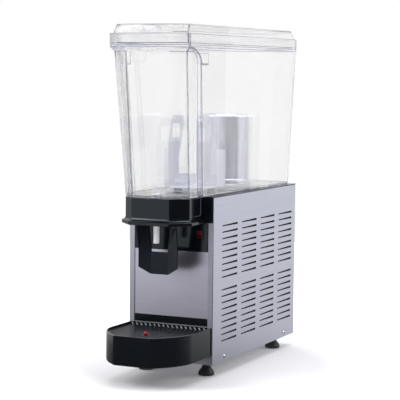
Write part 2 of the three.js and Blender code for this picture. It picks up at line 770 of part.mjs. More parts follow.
// Bowl: clear moulding with a narrow facetted neck, two shoulders and a thick stepped rim
const bowl = { rimDepth: 25.5, flare: 8, rimWall: 5.5, ledgeWidth: 3, ledgeHeight: 3, ledgeDrop: 17.8 };
bowl.rimBottom = rimHeight - bowl.rimDepth;
bowl.flareBottom = bowl.rimBottom - bowl.flare;
bowl.ledgeTop = rimHeight - bowl.ledgeDrop;
bowl.footForward = 0.7;
bowl.neckFootFront = [nose.frontHalf - bowl.footForward, -noseReach - bowl.footForward];
bowl.neckFootSide = [noseHalfWidth, -nose.chamferY];
bowl.neckLean = 16;
bowl.neckSpread = 7;
bowl.neckCornerLean = 32;
bowl.neckCornerSpread = 8.7;
bowl.neckTopFront = [
  bowl.neckFootFront[0] + bowl.neckSpread,
  bowl.neckFootFront[1] - bowl.neckLean,
];
bowl.neckTopSide = [
  bowl.neckFootSide[0] + bowl.neckCornerSpread,
  bowl.neckFootSide[1] - bowl.neckCornerLean,
];
bowl.rimStep = 5.7;
bowl.rimCornerRun = 6.5;
bowl.rimFront = [bowl.neckTopFront[0] + bowl.rimCornerRun, bowl.neckTopFront[1] - bowl.rimStep];
bowl.sideFlare = 6.3;
bowl.rimSideForward = 3.7;
bowl.rimSide = [bowlHalfWidth + bowl.sideFlare, bowl.neckTopSide[1] - bowl.rimSideForward];
bowl.rearFlare = 23;
bowl.rimRear = bowlRear + bowl.rearFlare;
bowl.shoulderFoot = -25;
bowl.shoulderLean = 21.8;
bowl.shoulderTop = bowl.shoulderFoot - bowl.shoulderLean;
bowl.archDrop = 31.5;
bowl.shoulderHeight = bowl.rimBottom - bowl.archDrop;
bowl.cornerRadius = 10;
bowl.cornerSteps = 4;
bowl.overlap = 30;
// Levels of the main walls: height, half width and rear, as shares of the way from foot to rim
bowl.levelShares = [[0, 0, 0], [0.045, 0.04, 0.11], [0.26, 0.24, 0.33], [0.79, 0.8, 0.67], [1, 1, 1]];
// The arch over each side recess is most of a quarter ellipse
bowl.archSteps = 5;
bowl.archTurn = halfTurn * 0.44;

function bowlBody(wall, floorZ, rimInset) {
  const height = bowl.rimBottom - bowlUnderside;
  const shoulderAt = (z) => {
    const share = (z - bowlUnderside) / (bowl.shoulderHeight - bowlUnderside);
    return between(bowl.shoulderFoot, bowl.shoulderTop, share);
  };
  const mainAt = (z, half, rear, front) => ({
    z,
    points: inset(
      bothSides([[half, front], ...rearCorner(half, rear, bowl.cornerRadius, bowl.cornerSteps)]),
      wall,
    ),
  });
  const main = loft(
    bowl.levelShares.map(([rise, widen, lean]) => {
      const z = Math.max(bowlUnderside + height * rise, floorZ);
      const half = between(bowlHalfWidth, bowl.rimSide[0], widen);
      return mainAt(z, half, between(bowlRear, bowl.rimRear, lean), shoulderAt(z));
    }).filter((level, i, all) => i === 0 || level.z > all[i - 1].z),
  );
  const neckAt = (z) => {
    const share = (z - bowlUnderside) / (bowl.flareBottom - bowlUnderside);
    const front = [0, 1].map((k) => between(bowl.neckFootFront[k], bowl.neckTopFront[k], share));
    const side = [0, 1].map((k) => between(bowl.neckFootSide[k], bowl.neckTopSide[k], share));
    const back = shoulderAt(z) + bowl.overlap;
    return { z, points: inset(bothSides([front, side, [side[0], back]]), wall) };
  };
  const neck = loft([neckAt(floorZ), neckAt(bowl.flareBottom + overrun / 2)]);
  const rear = rearCorner(bowl.rimSide[0], bowl.rimRear, bowl.cornerRadius, bowl.cornerSteps);
  const archRise = (bowl.rimBottom - bowl.shoulderHeight) / Math.sin(bowl.archTurn);
  const archRun = (bowl.rimSide[1] - bowl.shoulderTop) / (1 - Math.cos(bowl.archTurn));
  const archEdge = [];
  for (let i = 0; i <= bowl.archSteps; i++) {
    const angle = (i / bowl.archSteps) * bowl.archTurn;
    archEdge.push([
      bowl.shoulderTop + archRun * (1 - Math.cos(angle)) + wall,
      bowl.shoulderHeight + archRise * Math.sin(angle) + wall / 2,
    ]);
  }
  const top = bowl.rimBottom + overrun / 2;
  const archOutline = [
    [bowl.shoulderTop + bowl.overlap, archEdge[0][1]],
    ...archEdge,
    [archEdge.at(-1)[0], top + overrun],
    [bowl.shoulderTop + bowl.overlap, top + overrun],
  ];
  const wide = loft([
    mainAt(bowl.shoulderHeight - overrun, bowl.rimSide[0], bowl.rimRear, bowl.rimSide[1]),
    mainAt(top, bowl.rimSide[0], bowl.rimRear, bowl.rimSide[1]),
  ]);
  const arch = wide.intersect(prism("x", archOutline, [-halfBody, halfBody]));
  const rimOutline = bothSides([bowl.rimFront, bowl.rimSide, ...rear]);
  const flareOutline = bothSides([
    bowl.neckTopFront,
    bowl.neckTopSide,
    ...rearCorner(bowl.neckTopSide[0], bowl.rimRear - bowl.cornerRadius, bowl.cornerRadius, bowl.cornerSteps),
  ]);
  const flare = loft([
    { z: bowl.flareBottom, points: inset(flareOutline, wall) },
    { z: bowl.rimBottom, points: inset(rimOutline, Math.max(wall, rimInset)) },
    { z: top, points: inset(rimOutline, Math.max(wall, rimInset)) },
  ]);
  return joined([main, neck, arch, flare]);
}
function clearBowl() {
  const rear = rearCorner(bowl.rimSide[0], bowl.rimRear, bowl.cornerRadius, bowl.cornerSteps);
  const rimOutline = bothSides([bowl.rimFront, bowl.rimSide, ...rear]);
  const collar = loft([
    { z: bowl.rimBottom, points: rimOutline },
    { z: rimHeight, points: rimOutline },
  ]);
  const ledgeRoom = inset(rimOutline, bowl.rimWall + bowl.ledgeWidth);
  const lidRoom = inset(rimOutline, bowl.rimWall);
  const ledgeFoot = bowl.ledgeTop - bowl.ledgeHeight;
  const rimHollow = joined([
    loft([
      { z: bowl.rimBottom - overrun / 4, points: lidRoom },
      { z: ledgeFoot, points: lidRoom },
    ]),
    loft([
      { z: ledgeFoot - overrun / 2, points: ledgeRoom },
      { z: bowl.ledgeTop + overrun / 2, points: ledgeRoom },
    ]),
    loft([
      { z: bowl.ledgeTop, points: lidRoom },
      { z: rimHeight + overrun, points: lidRoom },
    ]),
  ]);
  const outside = bowlBody(0, bowlUnderside, 0).add(collar);
  const inside = bowlBody(bowlWall, bowlFloorTop, bowl.rimWall).add(rimHollow);
  const outlet = rod("z", boss.radius, [0, tapAxisY], [boss.bottom, bowlFloorTop]);
  const outletBore = rod("z", boss.bore, [0, tapAxisY], [boss.bottom - overrun, bowlFloorTop + overrun]);
  const spindleZ = [bowlFloorTop - bowlFloor / 2, hub.pinTop];
  const spindle = rod("z", hub.pinRadius, [0, agitatorY], spindleZ, smallSides);
  const evaporatorHole = rod(
    "z",
    seal.outer + gap,
    [0, evaporatorY],
    [bowlUnderside - overrun, bowlFloorTop + overrun],
    fineSides,
  );
  return outside.subtract(inside).add(outlet).add(spindle).subtract(outletBore).subtract(evaporatorHole);
}

// Evaporator: upright stainless cylinder that chills the drink, with a seal round its foot
const collar = { proud: 2.5, rise: 13.7, flangeHeight: 1.8, wall: 1.6 };
collar.radius = evaporatorRadius + collar.proud;
collar.top = bowlFloorTop + collar.rise;
const seal = { inner: collar.radius + gap, width: 4.2, rise: 5.7, lift: 2.1 };
seal.outer = seal.inner + seal.width;
seal.top = bowlFloorTop + seal.rise;
collar.flange = seal.outer - gap;
const port = { x: 15, radius: 3.2, slack: 0.6 };
port.hole = port.radius + port.slack;
const hub = { radius: 46, rise: 7.2, wall: 3, roof: 1.8, bossRadius: 16, bossHeight: 4.5, windows: 4 };
hub.top = bowlFloorTop + hub.rise;
hub.bossTop = hub.top + hub.bossHeight;
hub.pinRadius = 4;
hub.pinRise = 1.5;
hub.pinTop = hub.top + hub.pinRise;
hub.windowHalfWidth = 12;
hub.windowAngle = 50;

function evaporator() {
  const foot = deckTop + gap;
  const shoulder = 4.4;
  const bevel = 1.5;
  const inner = evaporatorRadius - collar.wall;
  const profile = [
    [0, evaporatorTop],
    [evaporatorRadius - shoulder, evaporatorTop],
    [evaporatorRadius, evaporatorTop - shoulder],
    [evaporatorRadius, collar.top + bevel],
    [collar.radius, collar.top],
    [collar.radius, foot + collar.flangeHeight],
    [collar.flange, foot + collar.flangeHeight],
    [collar.flange, foot],
    [0, foot],
    [0, foot + collar.flangeHeight],
    [inner, foot + collar.flangeHeight],
    [inner, evaporatorTop - shoulder - collar.wall],
    [inner - shoulder, evaporatorTop - collar.wall],
    [0, evaporatorTop - collar.wall],
  ];
  const hollowStart = 9;
  const outside = turned(profile.slice(0, hollowStart), [0, evaporatorY], fineSides);
  const hollow = turned(profile.slice(hollowStart), [0, evaporatorY], fineSides);
  const portHoles = [-1, 1].map((side) =>
    rod(
      "z",
      port.hole,
      [side * port.x, evaporatorY],
      [foot - overrun, foot + collar.flangeHeight + overrun],
      smallSides,
    ),
  );
  return cutAll(outside, [hollow, ...portHoles]);
}
piece("clear_bowl", clearBowl(), clearPlastic);
piece("evaporator", evaporator(), brightSteel);
const sealFoot = deckTop + gap + seal.lift;
const sealProfile = [
  [seal.inner, sealFoot],
  [seal.outer, sealFoot],
  [seal.outer, seal.top],
  [seal.inner, seal.top],
];
piece("evaporator_seal", turned(sealProfile, [0, evaporatorY], fineSides), sealRubber);

// Lid: clear cover that drops into the rim and stands a little above it
const lid = { rise: 17.2, bendRise: 2.7, wall: 3, slack: 0.6, crownInset: 8.5, crownCut: 11.7 };
lid.rearInset = 10;
lid.top = rimHeight + lid.rise;
lid.bend = rimHeight + lid.bendRise;
lid.crownFront = [bowl.rimFront[0] - lid.crownInset, bowl.rimFront[1] + lid.crownInset];
lid.crownSide = [bowl.rimSide[0] - lid.crownInset, bowl.rimSide[1] + lid.crownCut];
lid.crownRear = bowl.rimRear - lid.rearInset;
function clearLid() {
  const rear = rearCorner(bowl.rimSide[0], bowl.rimRear, bowl.cornerRadius, bowl.cornerSteps);
  const seat = inset(bothSides([bowl.rimFront, bowl.rimSide, ...rear]), bowl.rimWall + lid.slack);
  const crownCorner = rearCorner(lid.crownSide[0], lid.crownRear, bowl.cornerRadius, bowl.cornerSteps);
  const crown = bothSides([lid.crownFront, lid.crownSide, ...crownCorner]);
  const foot = bowl.ledgeTop + gap;
  const shell = loft([
    { z: foot, points: seat },
    { z: lid.bend, points: seat },
    { z: lid.top, points: crown },
  ]);
  const room = loft([
    { z: foot - overrun, points: inset(seat, lid.wall) },
    { z: lid.bend, points: inset(seat, lid.wall) },
    { z: lid.top - lid.wall, points: inset(crown, lid.wall) },
  ]);
  return shell.subtract(room);
}
piece("clear_lid", clearLid(), clearPlastic);

// Agitator: white paddle with two uneven arms on a windowed hub, turned by a magnet below the bowl
const paddle = { reach: 59, height: 139.5, thickness: 2.6, webRise: 25.5, wing: 14 };
paddle.restAngle = 25.4;
paddle.webTop = hub.top + paddle.webRise;
// Outline points: reach and height as shares of the paddle's own
paddle.leftShares = [
  [-0.8, -0.01], [-0.84, 0.43], [-0.83, 0.65], [-0.74, 0.92], [-0.65, 1],
  [-0.31, 1], [-0.25, 0.92], [-0.34, 0.69], [-0.45, 0.41], [-0.43, -0.01],
];
paddle.leftSlotShares = [[-0.68, 0.885], [-0.42, 0.885], [-0.43, 0.69], [-0.69, 0.69]];
paddle.rightShares = [
  [0.07, -0.01], [0.07, 0.93], [0.12, 1], [0.49, 1], [0.77, 0.53], [0.77, -0.01],
];
paddle.rightSlotShares = [[0.2, 0.82], [0.41, 0.82], [0.54, 0.62], [0.2, 0.62]];
paddle.leftWingShares = [-0.76, -0.93];
paddle.rightWingShares = [0.74, 1];
paddle.wingTopShare = 0.53;
function agitatorPaddle() {
  const half = paddle.thickness / 2;
  const outline = (shares) =>
    shares.map(([u, w]) => [u * paddle.reach, hub.top + w * paddle.height]);
  const plate = (shares) => prism("y", outline(shares), [-half, half]);
  const slot = (shares) => prism("y", outline(shares), [-half - overrun, half + overrun]);
  const wing = (shares, towards) => {
    const [root, tip] = shares.map((share) => share * paddle.reach);
    const slant = [
      [root, 0],
      [tip, towards * paddle.wing],
      [tip + paddle.thickness * Math.sign(root), towards * paddle.wing],
      [root + paddle.thickness * Math.sign(root), 0],
    ];
    return prism("z", slant, [hub.top - gap, hub.top + paddle.wingTopShare * paddle.height]);
  };
  const webLeft = paddle.leftShares.at(-1)[0] * paddle.reach - overrun;
  const webRight = paddle.rightShares[0][0] * paddle.reach + overrun;
  const web = block([webLeft, webRight], [-half, half], [hub.top - gap, paddle.webTop]);
  const hubFoot = bowlFloorTop + gap;
  const drum = rod("z", hub.radius, [0, 0], [hubFoot, hub.top], fineSides);
  const drumZ = [hubFoot - overrun, hub.top - hub.roof];
  const drumRoom = rod("z", hub.radius - hub.wall, [0, 0], drumZ, fineSides);
  const hubBoss = rod("z", hub.bossRadius, [0, 0], [hub.top - hub.roof / 2, hub.bossTop]);
  const spindleHole = rod("z", hub.pinRadius + gap, [0, 0], [hubFoot, hub.pinTop + gap], smallSides);
  const windows = [];
  for (let i = 0; i < hub.windows; i++) {
    const turn = THREE.MathUtils.degToRad(hub.windowAngle + (i * 360) / hub.windows);
    const [c, s] = [Math.cos(turn), Math.sin(turn)];
    const corner = (u, v) => [u * c - v * s, u * s + v * c];
    const near = hub.radius - 2 * hub.wall;
    const far = hub.radius + hub.wall;
    const outlineOfWindow = [
      corner(near, -hub.windowHalfWidth),
      corner(far, -hub.windowHalfWidth),
      corner(far, hub.windowHalfWidth),
      corner(near, hub.windowHalfWidth),
    ];
    windows.push(prism("z", outlineOfWindow, [hubFoot + gap, hub.top - hub.roof]));
  }
  const arms = joined([plate(paddle.leftShares), plate(paddle.rightShares), web]);
  const wings = wing(paddle.leftWingShares, 1).add(wing(paddle.rightWingShares, -1));
  const slots = [slot(paddle.leftSlotShares), slot(paddle.rightSlotShares)];
  const hubShell = drum.subtract(drumRoom).add(hubBoss);
  return cutAll(joined([cutAll(arms, slots), wings, hubShell]), [spindleHole, ...windows]);
}
const stirrer = new THREE.Group();
stirrer.position.set(0, agitatorY, 0);
stirrer.rotation.z = THREE.MathUtils.degToRad(paddle.restAngle);
machine.add(stirrer);
piece("agitator", agitatorPaddle(), whitePlastic, stirrer);
const magnetTop = hub.top - hub.roof - gap;
const magnetOuter = hub.radius - hub.wall - gap;
const magnet = rod("z", magnetOuter, [0, 0], [bowlFloorTop + gap, magnetTop], fineSides)
  .subtract(rod("z", hub.pinRadius + gap, [0, 0], [bowlFloorTop, hub.top], smallSides));
piece("agitator_magnet", magnet, rubber, stirrer);

// Agitator drive: magnet wheel under the deck, on the shaft of a small motor
const drive = { wheelRadius: 30, wheelHeight: 8.5, shaftRadius: 3, shaftDepth: 14, motorRadius: 31 };
drive.wheelTop = deckBottom - gap;
drive.hangerDrop = 22.3;
drive.hangerTop = deckBottom - drive.hangerDrop;
drive.hangerHalf = 45;
drive.hangerDepth = 35;
drive.sheet = 2;
drive.motorTop = drive.hangerTop - drive.sheet - gap;
drive.motorHeight = 40;
const wheel = rod("z", drive.wheelRadius, [0, 0], [drive.wheelTop - drive.wheelHeight, drive.wheelTop]);
const shaftZ = [drive.motorTop - drive.shaftDepth, drive.wheelTop - drive.wheelHeight / 2];
piece(
  "drive_magnet",
  wheel.add(rod("z", drive.shaftRadius, [0, 0], shaftZ, smallSides)),
  rubber,
  machine,
  [0, agitatorY, 0],
);
const motorCase = rod("z", drive.motorRadius, [0, 0], [drive.motorTop - drive.motorHeight, drive.motorTop]);
const shaftHole = rod(
  "z",
  drive.shaftRadius + gap,
  [0, 0],
  [drive.motorTop - drive.shaftDepth - gap, drive.motorTop + overrun],
  smallSides,
);
piece("drive_motor", motorCase.subtract(shaftHole), darkMetal, machine, [0, agitatorY, 0]);
function motorHanger() {
  const y = [agitatorY - drive.hangerDepth, agitatorY + drive.hangerDepth];
  const low = drive.hangerTop - drive.sheet;
  const plate = block([-drive.hangerHalf, drive.hangerHalf], y, [low, drive.hangerTop]);
  const inside = drive.hangerHalf - drive.sheet;
  const legs = [-1, 1].map((side) =>
    block([side * inside, side * drive.hangerHalf], y, [low, deckBottom - gap]),
  );
  const hole = rod(
    "z",
    drive.shaftRadius + overrun,
    [0, agitatorY],
    [low - overrun, drive.hangerTop + overrun],
    smallSides,
  );
  return joined([plate, ...legs]).subtract(hole);
}
piece("motor_hanger", motorHanger(), steel);

// Compressor: welded shell on a foot plate with four rubber bushes
const compressor = { rearInset: 131, radius: 62, plateHalf: 68, bushHeight: 22.5, plate: 3, height: 145 };
compressor.y = bodyDepth - compressor.rearInset;
compressor.plateBottom = pan.floorTop + gap + compressor.bushHeight;
compressor.top = compressor.plateBottom + compressor.height;
compressor.domeShares = [[1, 0.62], [0.93, 0.82], [0.72, 0.94], [0.35, 1]];
compressor.bushInset = 12;
compressor.bushRadius = 9;
const stub = { x: 20, forward: 15, radius: 4.5, height: 5 };
stub.top = compressor.top + stub.height;
function compressorShell() {
  const low = compressor.plateBottom + compressor.plate;
  const profile = [[0, low - compressor.plate / 2], [compressor.radius, low - compressor.plate / 2]];
  for (const [wide, high] of compressor.domeShares) {
    profile.push([compressor.radius * wide, between(low, compressor.top, high)]);
  }
  profile.push([0, compressor.top]);
  const half = compressor.plateHalf;
  const y = [compressor.y - half, compressor.y + half];
  const plate = block([-half, half], y, [compressor.plateBottom, low]);
  const stubs = [-1, 1].map((side) =>
    rod(
      "z",
      stub.radius,
      [side * stub.x, compressor.y - stub.forward],
      [compressor.top - compressor.bushInset, stub.top],
      smallSides,
    ),
  );
  return joined([turned(profile, [0, compressor.y]), plate, ...stubs]);
}
piece("compressor", compressorShell(), darkMetal);
for (const [word, x, y] of [["1", -1, -1], ["2", 1, -1], ["3", -1, 1], ["4", 1, 1]]) {
  const out = compressor.plateHalf - compressor.bushInset;
  const bush = rod(
    "z",
    compressor.bushRadius,
    [0, 0],
    [pan.floorTop + gap, compressor.plateBottom - gap],
    smallSides,
  );
  piece("compressor_bush_" + word, bush, rubber, machine, [x * out, compressor.y + y * out, 0]);
}

// Condenser: upright fins between two end plates, with two tubes through them
const condenser = { sideInset: 16.5, front: 50, depth: 38, lift: 17.8, heightTrim: 1, fins: 6, fin: 1.5 };
condenser.half = innerHalf - condenser.sideInset;
condenser.height = 2 * condenser.half - condenser.heightTrim;
condenser.finBottom = pan.floorTop + condenser.lift;
condenser.top = condenser.finBottom + condenser.height;
condenser.tubeRadius = 5;
condenser.tubeShares = [0.3, 0.7];
condenser.stubX = 45;
condenser.stubRise = 4;
function condenserBlock() {
  const y = [condenser.front, condenser.front + condenser.depth];
  const middle = condenser.front + condenser.depth / 2;
  const solids = [];
  for (const side of [-1, 1]) {
    const x = [side * condenser.half, side * (condenser.half - 2 * condenser.fin)];
    solids.push(block(x, y, [pan.floorTop + gap, condenser.top]));
  }
  const bandTop = condenser.finBottom + 2 * condenser.fin;
  solids.push(block([-condenser.half, condenser.half], y, [condenser.finBottom, bandTop]));
  solids.push(block([-condenser.half, condenser.half], y, [condenser.top - condenser.fin, condenser.top]));
  for (let i = 1; i <= condenser.fins; i++) {
    const x = between(-condenser.half, condenser.half, i / (condenser.fins + 1));
    const half = condenser.fin / 2;
    solids.push(block([x - half, x + half], y, [condenser.finBottom + gap, condenser.top - gap]));
  }
  for (const share of condenser.tubeShares) {
    const z = between(condenser.finBottom, condenser.top, share);
    const span = [-condenser.half + gap, condenser.half - gap];
    solids.push(rod("x", condenser.tubeRadius, [middle, z], span, pipeSides));
  }
  for (const side of [-1, 1]) {
    const z = [condenser.top - condenser.fin / 2, condenser.top + condenser.stubRise];
    solids.push(rod("z", stub.radius, [side * condenser.stubX, middle], z, smallSides));
  }
  return joined(solids);
}
piece("condenser", condenserBlock(), aluminium);

// Fan: shroud plate, five-bladed wheel, and its motor on a bracket
const fan = { sideRoom: 16, drop: 2.5, hubRadius: 16, depth: 15, blades: 5, blade: 1.8, bladeAngle: 32 };
fan.radius = condenser.half - fan.sideRoom;
fan.z = (condenser.finBottom + condenser.top) / 2 - fan.drop;
fan.shroudFront = condenser.front + condenser.depth + gap;
fan.shroud = 2;
fan.tipRoom = 4;
fan.front = fan.shroudFront + fan.shroud + fan.tipRoom / 2;
fan.shaftRadius = 3;
fan.motorRadius = 22;
fan.motorRoom = 3;
fan.motorFront = fan.front + fan.depth + fan.motorRoom;
fan.motorDepth = 32;
fan.shaftDepth = 12;
const shroudPlate = block(
  [-condenser.half, condenser.half],
  [fan.shroudFront, fan.shroudFront + fan.shroud],
  [pan.floorTop + gap, condenser.top],
);
const shroudHole = rod(
  "y",
  fan.radius + fan.tipRoom,
  [0, fan.z],
  [fan.shroudFront - overrun, fan.front],
  fineSides,
);
piece("fan_shroud", shroudPlate.subtract(shroudHole), steel);
function fanWheel() {
  const solids = [rod("y", fan.hubRadius, [0, 0], [0, fan.depth], smallSides)];
  const tilt = THREE.MathUtils.degToRad(fan.bladeAngle);
  const half = fan.depth / 2 / Math.cos(tilt) - fan.blade;
  for (let i = 0; i < fan.blades; i++) {
    const length = fan.radius - fan.hubRadius / 2;
    const geometry = new THREE.BoxGeometry(length, 2 * half, fan.blade);
    geometry.rotateX(tilt).translate(length / 2 + fan.hubRadius / 2, fan.depth / 2, 0);
    geometry.rotateY((i / fan.blades) * 2 * halfTurn);
    solids.push(toSolid(geometry));
  }
  const shaft = [fan.depth - gap, fan.depth + fan.motorRoom + fan.shaftDepth];
  solids.push(rod("y", fan.shaftRadius, [0, 0], shaft, smallSides));
  return joined(solids);
}
piece("fan_wheel", fanWheel(), aluminium, machine, [0, fan.front, fan.z]);
const fanCase = rod("y", fan.motorRadius, [0, 0], [0, fan.motorDepth]);
const fanBore = rod(
  "y",
  fan.shaftRadius + gap,
  [0, 0],
  [-overrun, fan.shaftDepth + gap],
  smallSides,
);
piece("fan_motor", fanCase.subtract(fanBore), darkMetal, machine, [0, fan.motorFront, fan.z]);
const fanStand = { half: 20, sheet: 2, base: 18 };
fanStand.front = fan.motorFront + fan.motorDepth + gap;
const standPost = block(
  [-fanStand.half, fanStand.half],
  [fanStand.front, fanStand.front + fanStand.sheet],
  [pan.floorTop + gap, fan.z + fan.motorRadius],
);
const standFoot = block(
  [-fanStand.half, fanStand.half],
  [fanStand.front, fanStand.front + fanStand.base],
  [pan.floorTop + gap, pan.floorTop + gap + fanStand.sheet],
);
piece("fan_stand", standPost.add(standFoot), steel);

// Refrigerant pipes and the filter drier that the liquid passes on its way up
const drier = { x: condenser.stubX, rise: 38, front: 112, length: 60, radius: 9, neck: 8 };
drier.z = condenser.top + drier.rise;
const pipeSteps = 12;
const route = (points) => {
  return new THREE.CatmullRomCurve3(points.map((p) => new THREE.Vector3(...p)), false, "centripetal");
};
const portTop = deckTop + gap + collar.flangeHeight + overrun;
const stubY = compressor.y - stub.forward;
const stubTop = stub.top + gap;
const condenserY = condenser.front + condenser.depth / 2;
const condenserTop = condenser.top + condenser.stubRise + gap;
const drierRear = drier.front + drier.length;
const pipeRun = { straight: 14, highRise: 74, lowRise: 26 };
pipeRun.high = condenser.top + pipeRun.highRise;
pipeRun.low = condenser.top + pipeRun.lowRise;
piece(
  "suction_pipe",
  tube(
    route([
      [stub.x, stubY, stubTop],
      [stub.x, stubY, stubTop + pipeRun.straight],
      [port.x, evaporatorY, pipeRun.high],
      [port.x, evaporatorY, deckBottom - pipeRun.straight],
      [port.x, evaporatorY, portTop],
    ]),
    port.radius,
    pipeSteps,
  ),
  copper,
);
piece(
  "discharge_pipe",
  tube(
    route([
      [-stub.x, stubY, stubTop],
      [-stub.x, stubY, stubTop + pipeRun.straight],
      [-condenser.stubX, between(condenserY, stubY, 2 / 3), pipeRun.high],
      [-condenser.stubX, between(condenserY, stubY, 1 / 3), pipeRun.high],
      [-condenser.stubX, condenserY, condenserTop + pipeRun.straight],
      [-condenser.stubX, condenserY, condenserTop],
    ]),
    port.radius,
    pipeSteps,
  ),
  copper,
);
piece(
  "liquid_pipe",
  tube(
    route([
      [condenser.stubX, condenserY, condenserTop],
      [condenser.stubX, condenserY, pipeRun.low],
      [drier.x, between(condenserY, drier.front, 1 / 2), drier.z - gap],
      [drier.x, drier.front - drier.neck, drier.z],
      [drier.x, drier.front - gap, drier.z],
    ]),
    port.radius,
    pipeSteps,
  ),
  copper,
);
piece(
  "capillary_pipe",
  tube(
    route([
      [drier.x, drierRear + gap, drier.z],
      [drier.x, drierRear + drier.neck, drier.z],
      [0, between(drierRear, evaporatorY, 2 / 3), pipeRun.high],
      [-port.x, evaporatorY, deckBottom - 2 * pipeRun.straight],
      [-port.x, evaporatorY, deckBottom - pipeRun.straight],
      [-port.x, evaporatorY, portTop],
    ]),
    port.radius,
    pipeSteps,
  ),
  copper,
);
const drierProfile = [
  [0, 0],
  [stub.radius, 0],
  [drier.radius, drier.neck],
  [drier.radius, drier.length - drier.neck],
  [stub.radius, drier.length],
  [0, drier.length],
];
piece(
  "filter_drier",
  turned(drierProfile, [0, 0], smallSides, "y"),
  copper,
  machine,
  [drier.x, drier.front, drier.z],
);

// Rear panel: steel sheet with vent slots, the thermostat's shaft hole and the cord's gland
const rear = { outside: bodyDepth - sheet - gap, slotHalf: 30, slotX: 40, slotHeight: 6, slotPitch: 22 };
rear.inside = rear.outside - sheet;
rear.top = bodyTop;
rear.slotDrop = 96.3;
rear.slotTop = bodyTop - rear.slotDrop;
rear.slotRows = 6;
const thermostat = { x: 40, drop: 41.3, half: 20, depth: 26, shaft: 3.2, knobRadius: 13, knobHeight: 8.5 };
thermostat.z = bodyTop - thermostat.drop;
thermostat.shaftDepth = 8;
thermostat.shaftHole = 5;
thermostat.gripHalf = 2.2;
thermostat.gripHeight = 3.5;
const gland = { x: -50, rise: 20, bore: 4, shank: 7, head: 10, headHeight: 8.5, nut: 9.5, nutDepth: 5 };
gland.z = pan.wallTop + gland.rise;
function rearPanel() {
  const face = block([-innerHalf, innerHalf], [rear.inside, rear.outside], [footHeight, rear.top]);
  const y = [rear.inside - overrun, rear.outside + overrun];
  const cutters = [
    rod("y", thermostat.shaftHole, [thermostat.x, thermostat.z], y, smallSides),
    rod("y", gland.shank + gap, [gland.x, gland.z], y, smallSides),
  ];
  for (const side of [-1, 1]) {
    const x = [side * rear.slotX - rear.slotHalf, side * rear.slotX + rear.slotHalf];
    for (let row = 0; row < rear.slotRows; row++) {
      const z = rear.slotTop - row * rear.slotPitch;
      cutters.push(block(x, y, [z, z + rear.slotHeight]));
    }
  }
  return cutAll(face, cutters);
}
piece("rear_panel", rearPanel(), steel);
const thermostatCase = block(
  [-thermostat.half, thermostat.half],
  [rear.inside - gap - thermostat.depth, rear.inside - gap],
  [-thermostat.half, thermostat.half],
);
const thermostatBore = rod(
  "y",
  thermostat.shaft + gap,
  [0, 0],
  [rear.inside - thermostat.shaftDepth - 2 * gap, rear.outside],
  smallSides,
);
piece(
  "thermostat",
  thermostatCase.subtract(thermostatBore),
  whitePlastic,
  machine,
  [thermostat.x, 0, thermostat.z],
);
function thermostatKnob() {
  const foot = bodyDepth + gap;
  const face = foot + thermostat.knobHeight - thermostat.gripHeight;
  const skirt = rod("y", thermostat.knobRadius, [0, 0], [foot, face], roundSides);
  const grip = block(
    [-thermostat.gripHalf, thermostat.gripHalf],
    [foot, foot + thermostat.knobHeight],
    [-thermostat.knobRadius + gap, thermostat.knobRadius - gap],
  );
  const shaftY = [rear.inside - thermostat.shaftDepth, foot + gap];
  const shaft = rod("y", thermostat.shaft, [0, 0], shaftY, smallSides);
  return joined([skirt, grip, shaft]);
}
piece("thermostat_knob", thermostatKnob(), blackPlastic, machine, [thermostat.x, 0, thermostat.z]);
const glandFoot = rear.outside + gap;
const glandInside = rear.inside - gap;
const glandProfile = [
  [gland.bore, glandInside - gland.nutDepth],
  [gland.nut, glandInside - gland.nutDepth],
  [gland.nut, glandInside],
  [gland.shank, glandInside],
  [gland.shank, glandFoot],
  [gland.head, glandFoot],
  [gland.head - sheet, glandFoot + gland.headHeight],
  [gland.bore, glandFoot + gland.headHeight],
];
piece(
  "cord_gland",
  turned(glandProfile, [0, 0], smallSides, "y"),
  rubber,
  machine,
  [gland.x, 0, gland.z],
);

// Drip tray: black tray with a bowed front, on a steel shelf in front of the panel
const tray = { sideInset: 2.8, wall: 2.6, sideRun: 77, cornerRun: 49.2, bendIn: 6.2, bendBack: 33 };
tray.half = halfBody - tray.sideInset;
tray.sideY = tray.sideRun - trayReach;
tray.frontHalf = tray.half - tray.cornerRun;
tray.bend = [tray.half - tray.bendIn, tray.bendBack - trayReach];
tray.curveSteps = 7;
tray.back = -0.5;
tray.round = 3.6;
tray.ledge = 2.4;
tray.ledgeDrop = 6.5;
tray.ledgeTop = trayTop - tray.ledgeDrop;
tray.floorTop = trayBottom + tray.wall;
function trayOutline(back) {
  const curve = new THREE.QuadraticBezierCurve(
    new THREE.Vector2(tray.half, tray.sideY),
    new THREE.Vector2(...tray.bend),
    new THREE.Vector2(tray.frontHalf, -trayReach),
  );
  const points = curve.getPoints(tray.curveSteps).map((p) => [p.x, p.y]);
  return bothSides([[tray.half, back], ...points].reverse());
}
function dripTray() {
  const outline = trayOutline(tray.back);
  const shell = loft([
    { z: trayBottom, points: inset(outline, tray.round) },
    { z: trayBottom + tray.round / 3, points: inset(outline, tray.round / 3) },
    { z: trayBottom + tray.round, points: outline },
    { z: trayTop, points: outline },
  ]);
  const well = loft([
    { z: tray.floorTop, points: inset(outline, tray.wall + tray.round) },
    { z: tray.floorTop + tray.round, points: inset(outline, tray.wall + tray.ledge) },
    { z: tray.ledgeTop + overrun, points: inset(outline, tray.wall + tray.ledge) },
  ]);
  const grilleRoom = inset(outline, tray.wall);
  const mouth = loft([
    { z: tray.ledgeTop, points: grilleRoom },
    { z: trayTop + overrun, points: grilleRoom },
  ]);
  return cutAll(shell, [well, mouth]);
}
piece("drip_tray", dripTray(), blackPlastic);

